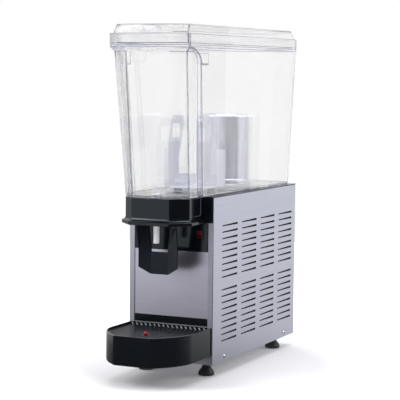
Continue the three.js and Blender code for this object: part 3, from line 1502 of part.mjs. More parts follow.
// Drip grille: black plate with rows of slots and a hole for the float's red tip
const grille = { thickness: 2.4, slack: 0.5, slotX: 6, slotY: 14, pitchX: 11, pitchY: 17.5 };
grille.bottom = tray.ledgeTop + gap;
grille.top = grille.bottom + grille.thickness;
grille.margin = 6;
grille.floatSlack = 0.8;
const float = { setback: 58, tipRadius: 4.6, tipRise: 1.7, stemRise: 0.9, stemRadius: 3.4 };
float.y = float.setback - trayReach;
float.tipTop = trayTop + float.tipRise;
float.tipBottom = grille.top + float.stemRise;
grille.floatHole = float.tipRadius + grille.floatSlack;
float.bodyRadius = 11;
float.bodyBottom = tray.floorTop + gap;
float.bodyHeight = 19.1;
float.bodyTop = float.bodyBottom + float.bodyHeight;
float.domeShares = [[0.98, 0.4], [0.8, 0.75], [0.45, 0.95]];
function dripGrille() {
  const outline = inset(trayOutline(tray.back), tray.wall + grille.slack);
  const plate = loft([
    { z: grille.bottom, points: outline },
    { z: grille.top, points: outline },
  ]);
  const z = [grille.bottom - overrun, grille.top + overrun];
  const safe = inset(outline, grille.margin);
  const frontLimit = Math.min(...safe.map((p) => p[1]));
  const backLimit = Math.max(...safe.map((p) => p[1]));
  const halfAt = (y) => {
    let widest = 0;
    for (let i = 0; i < safe.length; i++) {
      const [a, b] = [safe[i], safe[(i + 1) % safe.length]];
      if ((a[1] - y) * (b[1] - y) > 0 || a[1] === b[1]) continue;
      widest = Math.max(widest, between(a[0], b[0], (y - a[1]) / (b[1] - a[1])));
    }
    return widest;
  };
  const slots = [];
  const keepOut = grille.floatHole + grille.slotY / 2;
  for (let y = backLimit - grille.slotY / 2; y > frontLimit + grille.slotY / 2; y -= grille.pitchY) {
    const half = Math.min(halfAt(y - grille.slotY / 2), halfAt(y + grille.slotY / 2)) - grille.slotX / 2;
    const count = Math.floor(half / grille.pitchX);
    for (let i = -count; i <= count; i++) {
      const x = i * grille.pitchX;
      if (Math.hypot(x, y - float.y) < keepOut + grille.slotX / 2) continue;
      const spanX = [x - grille.slotX / 2, x + grille.slotX / 2];
      slots.push(block(spanX, [y - grille.slotY / 2, y + grille.slotY / 2], z));
    }
  }
  const floatHole = rod("z", grille.floatHole, [0, float.y], z, smallSides);
  return plate.subtract(joined(slots)).subtract(floatHole);
}
piece("drip_grille", dripGrille(), blackPlastic);

// Level float: stands in the tray and pushes its red tip up through the grille as the tray fills
const floatProfile = [
  [0, float.bodyBottom],
  [float.bodyRadius, float.bodyBottom],
  [float.bodyRadius, float.bodyTop],
  [float.stemRadius, float.bodyTop + float.stemRadius],
  [float.stemRadius, float.tipBottom],
  [float.tipRadius, float.tipBottom],
];
for (const [wide, high] of float.domeShares) {
  floatProfile.push([float.tipRadius * wide, between(float.tipBottom, float.tipTop, high)]);
}
floatProfile.push([0, float.tipTop]);
piece("level_float", turned(floatProfile, [0, 0], smallSides), redPlastic, machine, [0, float.y, 0]);

// Tray shelf: folded steel bracket on the front panel, with the tray standing on it
const shelf = { sideInset: 27.2, reach: 70, sheet: 1.7, flangeRise: 3 };
shelf.half = tray.half - shelf.sideInset;
shelf.front = -shelf.reach;
shelf.flangeBottom = footHeight + shelf.flangeRise;
shelf.top = trayBottom - gap;
const shelfPlate = block(
  [-shelf.half, shelf.half],
  [shelf.front, sheet],
  [shelf.top - shelf.sheet, shelf.top],
);
const shelfFlange = block(
  [-shelf.half, shelf.half],
  [sheet - shelf.sheet, sheet],
  [shelf.flangeBottom, shelf.top - gap],
);
piece("tray_shelf", shelfPlate.add(shelfFlange), steel);

// The origin is under the middle of the machine, between the tray's front and the rim's rear.
machine.position.y = (trayReach - bowl.rimRear) / 2;
const dispenser = new THREE.Group();
dispenser.add(machine);

export default dispenser;
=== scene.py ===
# Cold drink dispenser: one clear bowl with a push lever tap, on a cooled stainless cabinet.
# The sections follow the machine as it is put together, from the base pan up to the lid.
# Lengths are metres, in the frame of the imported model: X right, Y back, Z up.
from math import radians

import bpy
from mathutils import Matrix, Vector


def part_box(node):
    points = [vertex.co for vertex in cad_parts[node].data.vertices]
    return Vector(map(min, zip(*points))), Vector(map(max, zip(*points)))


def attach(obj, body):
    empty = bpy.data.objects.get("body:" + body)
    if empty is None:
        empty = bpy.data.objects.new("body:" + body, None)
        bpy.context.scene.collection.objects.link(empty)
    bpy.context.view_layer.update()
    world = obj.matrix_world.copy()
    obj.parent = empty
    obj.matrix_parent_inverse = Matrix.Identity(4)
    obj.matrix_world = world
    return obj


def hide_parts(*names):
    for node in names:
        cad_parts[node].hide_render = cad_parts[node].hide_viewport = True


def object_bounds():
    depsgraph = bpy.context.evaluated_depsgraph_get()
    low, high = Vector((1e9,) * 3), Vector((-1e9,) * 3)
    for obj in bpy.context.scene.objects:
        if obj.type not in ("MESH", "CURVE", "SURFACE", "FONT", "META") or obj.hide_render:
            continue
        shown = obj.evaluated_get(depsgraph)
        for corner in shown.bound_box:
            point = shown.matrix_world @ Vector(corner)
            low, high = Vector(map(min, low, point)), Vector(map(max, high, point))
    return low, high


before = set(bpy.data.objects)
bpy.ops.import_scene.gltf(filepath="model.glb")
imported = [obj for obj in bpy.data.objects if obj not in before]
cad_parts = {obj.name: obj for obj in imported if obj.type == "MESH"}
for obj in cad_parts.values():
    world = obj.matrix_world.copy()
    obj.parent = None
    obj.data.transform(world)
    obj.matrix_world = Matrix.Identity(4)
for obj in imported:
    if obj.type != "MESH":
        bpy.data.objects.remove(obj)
cad_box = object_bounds()
mm = 0.001

# ---- The view
# The camera stands to the right of the machine's front, a little above the middle of the bowl.
# A long lens about three metres away keeps the uprights almost parallel, as in the photograph.
view_place = (1.2844, -2.7200, 0.5848)
view_turn, view_dip, view_roll = 25.33, 4.86, 0.558
view_data = bpy.data.cameras.new("photo_view")
view_data.lens = 135.87
view_data.sensor_width = 36.0
view = bpy.data.objects.new("photo_view", view_data)
bpy.context.scene.collection.objects.link(view)
view.matrix_world = (
    Matrix.Translation(view_place)
    @ Matrix.Rotation(radians(view_turn), 4, "Z")
    @ Matrix.Rotation(radians(90 - view_dip), 4, "X")
    @ Matrix.Rotation(radians(view_roll), 4, "Z")
)
bpy.context.scene.camera = view
bpy.context.scene.view_settings.view_transform = "Standard"

# ---- The studio
# A white round floor that fades into a white room, with broad soft lamps on the left, overhead and
# on the right. Dark screens between the room's pale walls give gloss and metal their darker bands.
floor_radius, floor_drop = 2.2, 0.2 * mm
lamp_aim = Vector((0, 0, 0.35))
# name, place, width and power of each lamp
lamp_places = (
    ("lamp_left", (-1.9, -1.5, 1.9), 1.7, 40.0),
    ("lamp_over", (0.1, 0.2, 2.6), 2.0, 30.0),
    ("lamp_right", (2.6, 0.9, 1.5), 1.6, 24.0),
)
# tone of the walls once round the room, from -X by -Y, +X and +Y back to -X
wall_tones = (
    (0.00, 0.22), (0.085, 0.22), (0.12, 0.45), (0.155, 0.85), (0.215, 0.85), (0.25, 0.30),
    (0.277, 0.06), (0.35, 0.02), (0.44, 0.02), (0.475, 0.55), (0.55, 0.65), (0.62, 0.90),
    (0.75, 1.00), (0.86, 0.75), (0.92, 0.20), (1.00, 0.22),
)
wall_coolness = 1.03
screen_heading, screen_colour = (0.83, -0.56, 0.0), (0.02, 0.02, 0.10, 1)
screen_side, screen_foot = (0.70, 0.90), (-0.20, -0.14)
matt_room, white_room = (0.62, 0.62, 0.65, 1), (1, 1, 1, 1)
# how far out the floor's glow starts and is full, and its least share; the weak glow near the
# machine darkens the floor round it, a painted shade over the lamps' shadow
fade_start, fade_end, fade_least = 0.24, 0.60, 0.10
# how the floor shows to gloss where it is pale, and in its dark patch, a painted reflection
gloss_pale_tone, gloss_dark_tone = 0.80, 0.10
# painted reflection, dark only to gloss: the hems of the floor's dark patch, each with the axis,
# where the floor is pale, and where it is dark
gloss_dark_hems = (("X", -0.62, -0.42), ("Y", 0.55, -0.25), ("Y", -1.25, -1.05))


def let_go():
    """Leaves edit mode with nothing selected."""
    if bpy.context.object and bpy.context.object.mode != "OBJECT":
        bpy.ops.object.mode_set(mode="OBJECT")
    bpy.ops.object.select_all(action="DESELECT")


def feed(tree, socket, value):
    """Gives a socket a plain value, or links it to what another node puts out."""
    if isinstance(value, bpy.types.NodeSocket):
        tree.links.new(value, socket)
    else:
        socket.default_value = value


def ranged(tree, value, start=0.0, end=1.0, low=0.0, high=1.0, curve="LINEAR"):
    """Carries a value over, so that start comes out as low and end as high."""
    node = tree.nodes.new("ShaderNodeMapRange")
    node.interpolation_type = curve
    node.inputs["From Min"].default_value = start
    node.inputs["From Max"].default_value = end
    node.inputs["To Min"].default_value = low
    node.inputs["To Max"].default_value = high
    feed(tree, node.inputs["Value"], value)
    return node.outputs["Result"]


def combined(tree, operation, first, second):
    """Multiplies two values, or takes the larger one."""
    node = tree.nodes.new("ShaderNodeMath")
    node.operation = operation
    feed(tree, node.inputs[0], first)
    feed(tree, node.inputs[1], second)
    return node.outputs["Value"]


def mixed(tree, share, first, second):
    """Mixes two colours by the share of the second one."""
    node = tree.nodes.new("ShaderNodeMix")
    node.data_type = "RGBA"
    feed(tree, node.inputs["Factor"], share)
    feed(tree, node.inputs["A"], first)
    feed(tree, node.inputs["B"], second)
    return node.outputs["Result"]


def new_finish(name):
    """A material with its tree, and the shader in it."""
    finish = bpy.data.materials.new(name)
    finish.use_nodes = True
    return finish, finish.node_tree, finish.node_tree.nodes["Principled BSDF"]


for lamp_name, place, width, power in lamp_places:
    lamp_data = bpy.data.lights.new(lamp_name, "AREA")
    lamp_data.shape = "DISK"
    lamp_data.size = width
    lamp_data.energy = power
    lamp = bpy.data.objects.new(lamp_name, lamp_data)
    bpy.context.scene.collection.objects.link(lamp)
    facing = (lamp_aim - Vector(place)).to_track_quat("-Z", "Y")
    lamp.matrix_world = Matrix.Translation(place) @ facing.to_matrix().to_4x4()

world = bpy.data.worlds.new("white_studio")
bpy.context.scene.world = world
world.use_nodes = True
room = world.node_tree
rays = room.nodes.new("ShaderNodeLightPath")
heading = room.nodes.new("ShaderNodeTexCoord").outputs["Generated"]
around = room.nodes.new("ShaderNodeTexGradient")
around.gradient_type = "RADIAL"
feed(room, around.inputs["Vector"], heading)
walls = room.nodes.new("ShaderNodeValToRGB")
steps = walls.color_ramp.elements
steps.remove(steps[1])
for turn, tone in wall_tones:
    step = steps[0] if turn == 0 else steps.new(turn)
    step.position = turn
    step.color = (tone, tone, min(1.0, tone * wall_coolness), 1)
feed(room, walls.inputs["Fac"], around.outputs["Fac"])
# through clear plastic the room is white, with one dark screen, above the floor, for its edges
towards_screen = room.nodes.new("ShaderNodeVectorMath")
towards_screen.operation = "DOT_PRODUCT"
towards_screen.inputs[1].default_value = screen_heading
feed(room, towards_screen.inputs[0], heading)
upright = room.nodes.new("ShaderNodeSeparateXYZ")
feed(room, upright.inputs["Vector"], heading)
screened = combined(
    room, "MULTIPLY",
    ranged(room, towards_screen.outputs["Value"], *screen_side, curve="SMOOTHSTEP"),
    ranged(room, upright.outputs["Z"], *screen_foot),
)
seen_through = mixed(room, screened, white_room, screen_colour)
# each kind of ray meets its own room: matt surfaces a plain one, the lens a white one
room_light = walls.outputs["Color"]
for kind, light in (
    ("Is Diffuse Ray", matt_room),
    ("Is Transmission Ray", seen_through),
    ("Is Camera Ray", white_room),
):
    room_light = mixed(room, rays.outputs[kind], room_light, light)
feed(room, room.nodes["Background"].inputs["Color"], room_light)

let_go()
bpy.ops.mesh.primitive_circle_add(
    vertices=96, radius=floor_radius, fill_type="NGON",
    location=(0, 0, cad_box[0][2] - floor_drop),
)
floor = bpy.context.object
floor.name = "studio_floor"
floor_finish, ground, floor_paint = new_finish("pale_floor")
floor_paint.inputs["Base Color"].default_value = (0.80, 0.80, 0.81, 1)
floor_paint.inputs["Roughness"].default_value = 0.9
floor_paint.inputs["Specular IOR Level"].default_value = 0.1
floor_rays = ground.nodes.new("ShaderNodeLightPath")
floor_place = ground.nodes.new("ShaderNodeTexCoord").outputs["Object"]
# the floor glows more the further out it is, so that its edge can't be told from the room, and
# glows least near the machine, which darkens the floor round and under it as a painted shade
outward = ground.nodes.new("ShaderNodeVectorMath")
outward.operation = "LENGTH"
feed(ground, outward.inputs[0], floor_place)
fade = ranged(ground, outward.outputs["Value"], fade_start, fade_end, low=fade_least)
looked_at = combined(
    ground, "MAXIMUM",
    floor_rays.outputs["Is Camera Ray"], floor_rays.outputs["Is Transmission Ray"],
)
floor_glow = ground.nodes.new("ShaderNodeEmission")
feed(ground, floor_glow.inputs["Strength"], combined(ground, "MULTIPLY", fade, looked_at))
lit_floor = ground.nodes.new("ShaderNodeAddShader")
feed(ground, lit_floor.inputs[0], floor_paint.outputs["BSDF"])
feed(ground, lit_floor.inputs[1], floor_glow.outputs["Emission"])
# painted reflection: to gloss alone the floor shows dark ahead of the machine and to its right,
# while the camera sees it pale
ahead = ground.nodes.new("ShaderNodeSeparateXYZ")
feed(ground, ahead.inputs["Vector"], floor_place)
gloss_dark = 1.0
for axis, pale_end, dark_end in gloss_dark_hems:
    hem = ranged(ground, ahead.outputs[axis], pale_end, dark_end)
    gloss_dark = combined(ground, "MULTIPLY", hem, gloss_dark)
mirrored_floor = ground.nodes.new("ShaderNodeEmission")
mirrored_tone = ranged(ground, gloss_dark, low=gloss_pale_tone, high=gloss_dark_tone)
feed(ground, mirrored_floor.inputs["Strength"], mirrored_tone)
floor_choice = ground.nodes.new("ShaderNodeMixShader")
feed(ground, floor_choice.inputs["Fac"], floor_rays.outputs["Is Glossy Ray"])
feed(ground, floor_choice.inputs[1], lit_floor.outputs["Shader"])
feed(ground, floor_choice.inputs[2], mirrored_floor.outputs["Emission"])
feed(ground, ground.nodes["Material Output"].inputs["Surface"], floor_choice.outputs["Shader"])
floor.data.materials.append(floor_finish)

# ---- Base pan
# A shallow pan folded from stainless sheet. The cooling unit stands in it, the side panels are
# screwed to its walls, and the four feet are threaded into its floor.
weld_gap, flat_angle = 0.02 * mm, 1.5
brush_bump, brush_depth, brush_contrast = 0.06, 0.1 * mm, (0.3, 0.6)
brush_glossier, brush_duller = 0.05, 0.08


def take_up(piece):
    """Selects one piece alone and makes it the active one."""
    let_go()
    piece.select_set(True)
    bpy.context.view_layer.objects.active = piece


def settle(piece, smooth=40):
    """Applies what modifiers are left, smooths edges under an angle and evens the normals."""
    take_up(piece)
    for modifier in list(piece.modifiers):
        bpy.ops.object.modifier_apply(modifier=modifier.name)
    bpy.ops.object.shade_smooth_by_angle(angle=radians(smooth))
    evened = piece.modifiers.new("evened", "WEIGHTED_NORMAL")
    evened.keep_sharp = True
    bpy.ops.object.modifier_apply(modifier=evened.name)


def round_edges(piece, radius, segments=2, crease=30, clamp=True):
    """Rounds the edges over the crease angle a little, as folding or moulding leaves them."""
    edge = piece.modifiers.new("edge", "BEVEL")
    edge.width = radius
    edge.segments = segments
    edge.limit_method = "ANGLE"
    edge.angle_limit = radians(crease)
    edge.use_clamp_overlap = clamp
    edge.miter_outer = "MITER_ARC"


def softened(node, radius, segments=2, crease=30, smooth=40, flats=True):
    """A copy of a CAD node, made one clean skin, with its edges rounded unless the radius is 0."""
    piece = bpy.data.objects.new(node + "_skin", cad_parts[node].data.copy())
    bpy.context.scene.collection.objects.link(piece)
    take_up(piece)
    bpy.ops.mesh.customdata_custom_splitnormals_clear()
    bpy.ops.object.mode_set(mode="EDIT")
    bpy.ops.mesh.select_all(action="SELECT")
    bpy.ops.mesh.remove_doubles(threshold=weld_gap)
    bpy.ops.mesh.mark_sharp(clear=True)
    if flats:
        bpy.ops.mesh.dissolve_limited(angle_limit=radians(flat_angle))
    bpy.ops.object.mode_set(mode="OBJECT")
    if radius:
        round_edges(piece, radius, segments, crease)
    settle(piece, smooth)
    return piece


def set_in(piece, name, finish, body, slot, *nodes):
    """Gives a finished piece its material and puts it on its body, in place of its CAD nodes."""
    piece.name = name
    piece.data.name = name
    piece.data.materials.clear()
    piece.data.materials.append(finish)
    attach(piece, body)
    if nodes:
        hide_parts(*nodes)


def dressed(node, name, finish, body, slot, radius, **edges):
    """Puts a CAD node's softened copy in its place."""
    set_in(softened(node, radius, **edges), name, finish, body, slot, node)


def new_effect(name, inputs, outputs):
    """A group of nodes with its named inputs and outputs, each given with its kind."""
    group = bpy.data.node_groups.new(name, "ShaderNodeTree")
    for socket, kind in inputs:
        group.interface.new_socket(name=socket, in_out="INPUT", socket_type="NodeSocket" + kind)
    for socket, kind in outputs:
        group.interface.new_socket(name=socket, in_out="OUTPUT", socket_type="NodeSocket" + kind)
    return group, group.nodes.new("NodeGroupInput"), group.nodes.new("NodeGroupOutput")


def noise(group, place, scale, detail, roughness=0.5):
    """A noise over the surface."""
    node = group.nodes.new("ShaderNodeTexNoise")
    feed(group, node.inputs["Vector"], place)
    feed(group, node.inputs["Scale"], scale)
    node.inputs["Detail"].default_value = detail
    node.inputs["Roughness"].default_value = roughness
    return node.outputs["Fac"]


def emboss(tree, shell, height, strength, depth):
    """Gives a shader a fine relief."""
    relief = tree.nodes.new("ShaderNodeBump")
    relief.inputs["Strength"].default_value = strength
    relief.inputs["Distance"].default_value = depth
    feed(tree, relief.inputs["Height"], height)
    feed(tree, shell.inputs["Normal"], relief.outputs["Normal"])


# rolling and brushing leave fine lines along one direction, with faint broader clouds over them
brushing, b_in, b_out = new_effect(
    "brushed_lines", [("Place", "Vector")], [("Lines", "Float"), ("Clouds", "Float")]
)
fine_lines = noise(brushing, b_in.outputs["Place"], scale=1.0, detail=3.0, roughness=0.7)
broad_clouds = noise(brushing, b_in.outputs["Place"], scale=0.035, detail=2.0)
feed(brushing, b_out.inputs["Lines"], fine_lines)
feed(brushing, b_out.inputs["Clouds"], broad_clouds)


def brushed_finish(name, colour, deep, rough, stretch):
    """Brushed metal. stretch gives how fast the lines change along X, Y and Z."""
    finish, tree, metal = new_finish(name)
    metal.inputs["Metallic"].default_value = 1.0
    place = tree.nodes.new("ShaderNodeTexCoord")
    run = tree.nodes.new("ShaderNodeMapping")
    run.inputs["Scale"].default_value = stretch
    feed(tree, run.inputs["Vector"], place.outputs["Object"])
    lines = tree.nodes.new("ShaderNodeGroup")
    lines.node_tree = brushing
    feed(tree, lines.inputs["Place"], run.outputs["Vector"])
    spread = ranged(tree, lines.outputs["Lines"], *brush_contrast)
    feed(tree, metal.inputs["Base Color"], mixed(tree, spread, (*deep, 1), (*colour, 1)))
    polish = ranged(
        tree, lines.outputs["Clouds"], low=rough - brush_glossier, high=rough + brush_duller
    )
    feed(tree, metal.inputs["Roughness"], polish)
    emboss(tree, metal, lines.outputs["Lines"], brush_bump, brush_depth)
    return finish


steel_side = brushed_finish(
    "brushed_side_steel", (0.60, 0.61, 0.70), (0.55, 0.56, 0.65), 0.40, (40, 12, 900)
)
# painted light: the front sheet is the sides' steel in a lighter tone
lit_front_steel = brushed_finish(
    "brushed_front_steel_lit", (0.71, 0.70, 0.81), (0.65, 0.64, 0.75), 0.33, (12, 40, 900)
)
dressed("base_pan", "pan_folded", steel_side, "cabinet", "stainless_sheet", 0.4 * mm)

# ---- Levelling feet
# Four black lobed knobs moulded on threaded studs. They are screwed up into the base pan, and
# turning them by hand levels the machine.
skin_depth = 0.2 * mm
skin_glossier, skin_duller, least_rough = 0.04, 0.06, 0.02
foot_lobes, sides_per_lobe = 8, 4
foot_radius, foot_groove = 18.7 * mm, 0.84
# heights in mm over the floor, each with its share of the foot's radius
foot_levels = (
    (0.0, 0.93), (1.2, 1.0), (4.0, 1.02), (7.4, 1.0),
    (9.5, 0.88), (12.0, 0.74), (15.0, 0.61), (18.0, 0.54),
)
neck_radius, neck_foot, neck_top = 8.0 * mm, 17.5 * mm, 24.5 * mm
stud_crest, stud_root, stud_foot = 3.0 * mm, 2.6 * mm, 24.6 * mm
thread_step, thread_rings = 0.5 * mm, 20
moulded_skin, m_in, m_out = new_effect(
    "moulded_skin",
    [("Place", "Vector"), ("Fineness", "Float")],
    [("Clouds", "Float"), ("Ripple", "Float")],
)
fine_ripple = noise(moulded_skin, m_in.outputs["Place"], m_in.outputs["Fineness"], detail=2.0)
faint_clouds = noise(moulded_skin, m_in.outputs["Place"], scale=18.0, detail=3.0)
feed(moulded_skin, m_out.inputs["Ripple"], fine_ripple)
feed(moulded_skin, m_out.inputs["Clouds"], faint_clouds)


def skin_over(tree, fineness):
    """The clouds and the ripple of a moulded surface, laid over the piece."""
    place = tree.nodes.new("ShaderNodeTexCoord")
    skin = tree.nodes.new("ShaderNodeGroup")
    skin.node_tree = moulded_skin
    skin.inputs["Fineness"].default_value = fineness
    feed(tree, skin.inputs["Place"], place.outputs["Object"])
    return skin.outputs["Clouds"], skin.outputs["Ripple"]


def clouded_finish(name, colour, deep, rough, fineness, bump=0.03, gloss_tint=(1, 1, 1)):
    """A moulded, painted or cast surface: clouds between two tones, and a fine even ripple."""
    finish, tree, shell = new_finish(name)
    shell.inputs["Specular Tint"].default_value = (*gloss_tint, 1)
    clouds, ripple = skin_over(tree, fineness)
    feed(tree, shell.inputs["Base Color"], mixed(tree, clouds, (*deep, 1), (*colour, 1)))
    glossiest = max(rough - skin_glossier, least_rough)
    polish = ranged(tree, clouds, low=glossiest, high=rough + skin_duller)
    feed(tree, shell.inputs["Roughness"], polish)
    emboss(tree, shell, ripple, bump, skin_depth)
    return finish


foot_rubber = clouded_finish(
    "foot_black", (0.022, 0.023, 0.026), (0.012, 0.012, 0.014), 0.5, 900, bump=0.08
)


def added(scale=(1, 1, 1)):
    """The primitive that was added last, scaled, with its place in its mesh."""
    piece = bpy.context.object
    piece.scale = scale
    bpy.ops.object.transform_apply(location=True, rotation=True, scale=True)
    return piece


def drawn_up(rings, centre, sides, lobes=0, groove=1.0):
    """Draws a round form up from a disc, one extruded ring for each (height, radius)."""
    let_go()
    height, radius = rings[0]
    bpy.ops.mesh.primitive_circle_add(
        vertices=sides, radius=radius, fill_type="NGON", location=(centre[0], centre[1], height)
    )
    piece = added()
    if lobes:
        step = sides // lobes
        for vertex in piece.data.vertices:
            vertex.select = vertex.index % step == step // 2
        bpy.ops.object.mode_set(mode="EDIT")
        bpy.ops.mesh.select_mode(type="VERT")
        bpy.ops.transform.resize(
            value=(groove, groove, 1), center_override=(centre[0], centre[1], height)
        )
        bpy.ops.object.mode_set(mode="OBJECT")
    bpy.ops.object.mode_set(mode="EDIT")
    bpy.ops.mesh.select_all(action="SELECT")
    for next_height, next_radius in rings[1:]:
        rise = next_height - height
        bpy.ops.mesh.extrude_region_move(TRANSFORM_OT_translate={"value": (0, 0, rise)})
        share = next_radius / radius
        bpy.ops.transform.resize(
            value=(share, share, 1), center_override=(centre[0], centre[1], next_height)
        )
        height, radius = next_height, next_radius
    bpy.ops.mesh.select_all(action="SELECT")
    bpy.ops.mesh.normals_make_consistent(inside=False)
    bpy.ops.object.mode_set(mode="OBJECT")
    return piece


def joined(pieces):
    """Joins pieces into the first one."""
    let_go()
    for piece in pieces:
        piece.select_set(True)
    bpy.context.view_layer.objects.active = pieces[0]
    bpy.ops.object.join()
    return pieces[0]


for corner, body in (
    ("front_left", "foot_a"),
    ("front_right", "foot_b"),
    ("rear_left", "foot_c"),
    ("rear_right", "foot_d"),
):
    node = "foot_" + corner
    foot_low, foot_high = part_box(node)
    centre = (foot_low + foot_high) / 2
    knob = drawn_up(
        [(foot_low.z + z * mm, share * foot_radius) for z, share in foot_levels],
        centre, foot_lobes * sides_per_lobe, foot_lobes, foot_groove,
    )
    rounded = knob.modifiers.new("rounded", "SUBSURF")
    rounded.levels = rounded.render_levels = 1
    settle(knob, 60)
    neck = drawn_up(
        [(foot_low.z + neck_foot, neck_radius), (foot_low.z + neck_top, neck_radius)], centre, 24
    )
    threads = [
        (foot_low.z + stud_foot + ring * thread_step, stud_crest if ring % 2 else stud_root)
        for ring in range(thread_rings)
    ]
    stud = drawn_up(threads, centre, 16)
    settle(neck, 40)
    settle(stud, 20)
    knob = joined([knob, neck, stud])
    set_in(knob, "levelling_" + node, foot_rubber, body, "black_rubber", node)

# ---- Cooling unit
# A black welded compressor on four rubber bushes, a finned aluminium condenser with its fan, and
# the copper pipework between them. All of it stands in the base pan, behind the front panel.
black_paint = clouded_finish("shell_paint", (0.022, 0.023, 0.027), (0.014, 0.014, 0.017), 0.34, 700)
bush_rubber = clouded_finish("bush_rubber", (0.028, 0.029, 0.031), (0.017, 0.017, 0.018), 0.7, 1200)
fin_aluminium = brushed_finish(
    "rolled_aluminium", (0.60, 0.61, 0.63), (0.52, 0.53, 0.55), 0.38, (60, 60, 500)
)
pipe_copper = brushed_finish(
    "drawn_copper", (0.66, 0.30, 0.17), (0.50, 0.20, 0.11), 0.30, (120, 120, 40)
)
dressed(
    "compressor", "compressor_shell", black_paint, "cabinet", "dark_metal",
    0.8 * mm, crease=40, smooth=50,
)
for number in "1234":
    dressed(
        "compressor_bush_" + number, "rubber_bush_" + number, bush_rubber, "cabinet",
        "black_rubber", 1.2 * mm, crease=50, smooth=50,
    )
dressed("condenser", "condenser_block", fin_aluminium, "cabinet", "aluminium", 0)
dressed("fan_shroud", "fan_plate", steel_side, "cabinet", "stainless_sheet", 0.3 * mm)
dressed("fan_wheel", "fan_blades", fin_aluminium, "fan", "aluminium", 0.3 * mm)
dressed(
    "fan_motor", "fan_motor_case", black_paint, "cabinet", "dark_metal",
    1.0 * mm, crease=50, smooth=50,
)
dressed("fan_stand", "fan_bracket", steel_side, "cabinet", "stainless_sheet", 0.4 * mm)
for node in ("suction_pipe", "discharge_pipe", "liquid_pipe", "capillary_pipe", "filter_drier"):
    dressed(node, node + "_drawn", pipe_copper, "cabinet", "copper", 0, smooth=75)

# ---- Agitator drive
# A small geared motor hangs under the deck in a folded bracket. The magnet wheel on its shaft
# turns the agitator's own magnet through the bowl's floor.
magnet_black = clouded_finish("magnet_black", (0.03, 0.03, 0.033), (0.02, 0.02, 0.022), 0.6, 900)
dressed("motor_hanger", "motor_bracket", steel_side, "cabinet", "stainless_sheet", 0.5 * mm)
dressed(
    "drive_motor", "drive_motor_case", black_paint, "cabinet", "dark_metal",
    1.0 * mm, crease=50, smooth=50,
)
dressed(
    "drive_magnet", "magnet_wheel", magnet_black, "drive", "black_rubber",
    0.6 * mm, crease=50, smooth=50,
)

# ---- Front panel and controls
# One stainless sheet between the side panels' returns, with a black moulded plate over its upper
# part for the two rocker switches, and a plain black strip above the tray.
cool_gloss = (0.80, 0.92, 1.0)
plate_black = clouded_finish(
    "moulded_black", (0.005, 0.006, 0.009), (0.003, 0.004, 0.006), 0.13, 420, gloss_tint=cool_gloss
)
rocker_red = clouded_finish("rocker_red", (0.09, 0.003, 0.005), (0.06, 0.002, 0.003), 0.2, 500)
dressed("front_panel", "front_sheet", lit_front_steel, "cabinet", "stainless_sheet", 0.3 * mm)
dressed("control_panel", "control_plate", plate_black, "cabinet", "black_plastic", 0.5 * mm)
dressed("front_strip", "plain_strip", plate_black, "cabinet", "black_plastic", 0.3 * mm)
for side in ("left", "right"):
    dressed(
        "switch_housing_" + side, "switch_frame_" + side, plate_black, "cabinet",
        "black_plastic", 0.4 * mm,
    )
    dressed(
        "switch_rocker_" + side, "rocker_" + side + "_key", rocker_red, "rocker_" + side,
        "red_plastic", 0.6 * mm, segments=3, crease=10,
    )

# ---- Rear panel
# Stainless sheet with vent slots. The cord's rubber gland sits low on one side, and the
# thermostat's black knob high on the other.
case_white = clouded_finish("case_white", (0.78, 0.79, 0.82), (0.70, 0.71, 0.74), 0.4, 600)
knob_black = clouded_finish("knob_black", (0.014, 0.015, 0.018), (0.009, 0.010, 0.012), 0.3, 500)
dressed(
    "rear_panel", "rear_sheet", steel_side, "cabinet", "stainless_sheet", 0.3 * mm, flats=False
)
dressed("thermostat", "thermostat_case", case_white, "cabinet", "white_plastic", 0.8 * mm)
dressed("thermostat_knob", "thermostat_dial", knob_black, "knob", "black_plastic", 0.6 * mm)
dressed(
    "cord_gland", "gland_moulding", bush_rubber, "cabinet", "black_rubber",
    0.4 * mm, crease=40, smooth=50,
)

# ---- Side panels
# Stainless sheet folded round the front and the back, one for each side. Each has four columns of
# punched louvres and is held to the base pan by two domed cross head screws.
screw_steel = brushed_finish(
    "screw_steel", (0.72, 0.72, 0.76), (0.60, 0.60, 0.64), 0.22, (300, 300, 300)
)
# painted shade: the black of the sheet behind the louvres
louvre_shade_black = clouded_finish("louvre_shade_black", (0.006, 0.006, 0.009), (0.004, 0.004, 0.006), 0.8, 900)
side_sheet, side_return, fold_radius = 1.2 * mm, 11.2 * mm, 1.6 * mm
louvre_wide, louvre_narrow, louvre_length = 2.1 * mm, 1.2 * mm, 73.0 * mm
louvre_columns, louvre_rows, louvre_groups = 4, 9, 2
louvre_run, louvre_rise = 94.0 * mm, 12.44 * mm
louvre_start, louvre_top = 40.0 * mm, 56.3 * mm
punch_depth = 8 * side_sheet
shade_sheet_gap, shade_sheet_thick, shade_sheet_margin = 0.6 * mm, 1.0 * mm, 7.0 * mm
screw_hole, shank_slack, screw_turn = 2.2 * mm, 0.4 * mm, 12
# heights over the panel and radii of the screw's dome, in mm
screw_rings = ((0.0, 4.2), (0.5, 4.15), (1.0, 3.7), (1.5, 2.6), (1.8, 1.0))
recess_long, recess_wide, recess_deep = 4.6 * mm, 1.0 * mm, 1.1 * mm
sideways = (0, radians(90), 0)
# a point this close to a plane counts as on it
near = 0.1 * mm


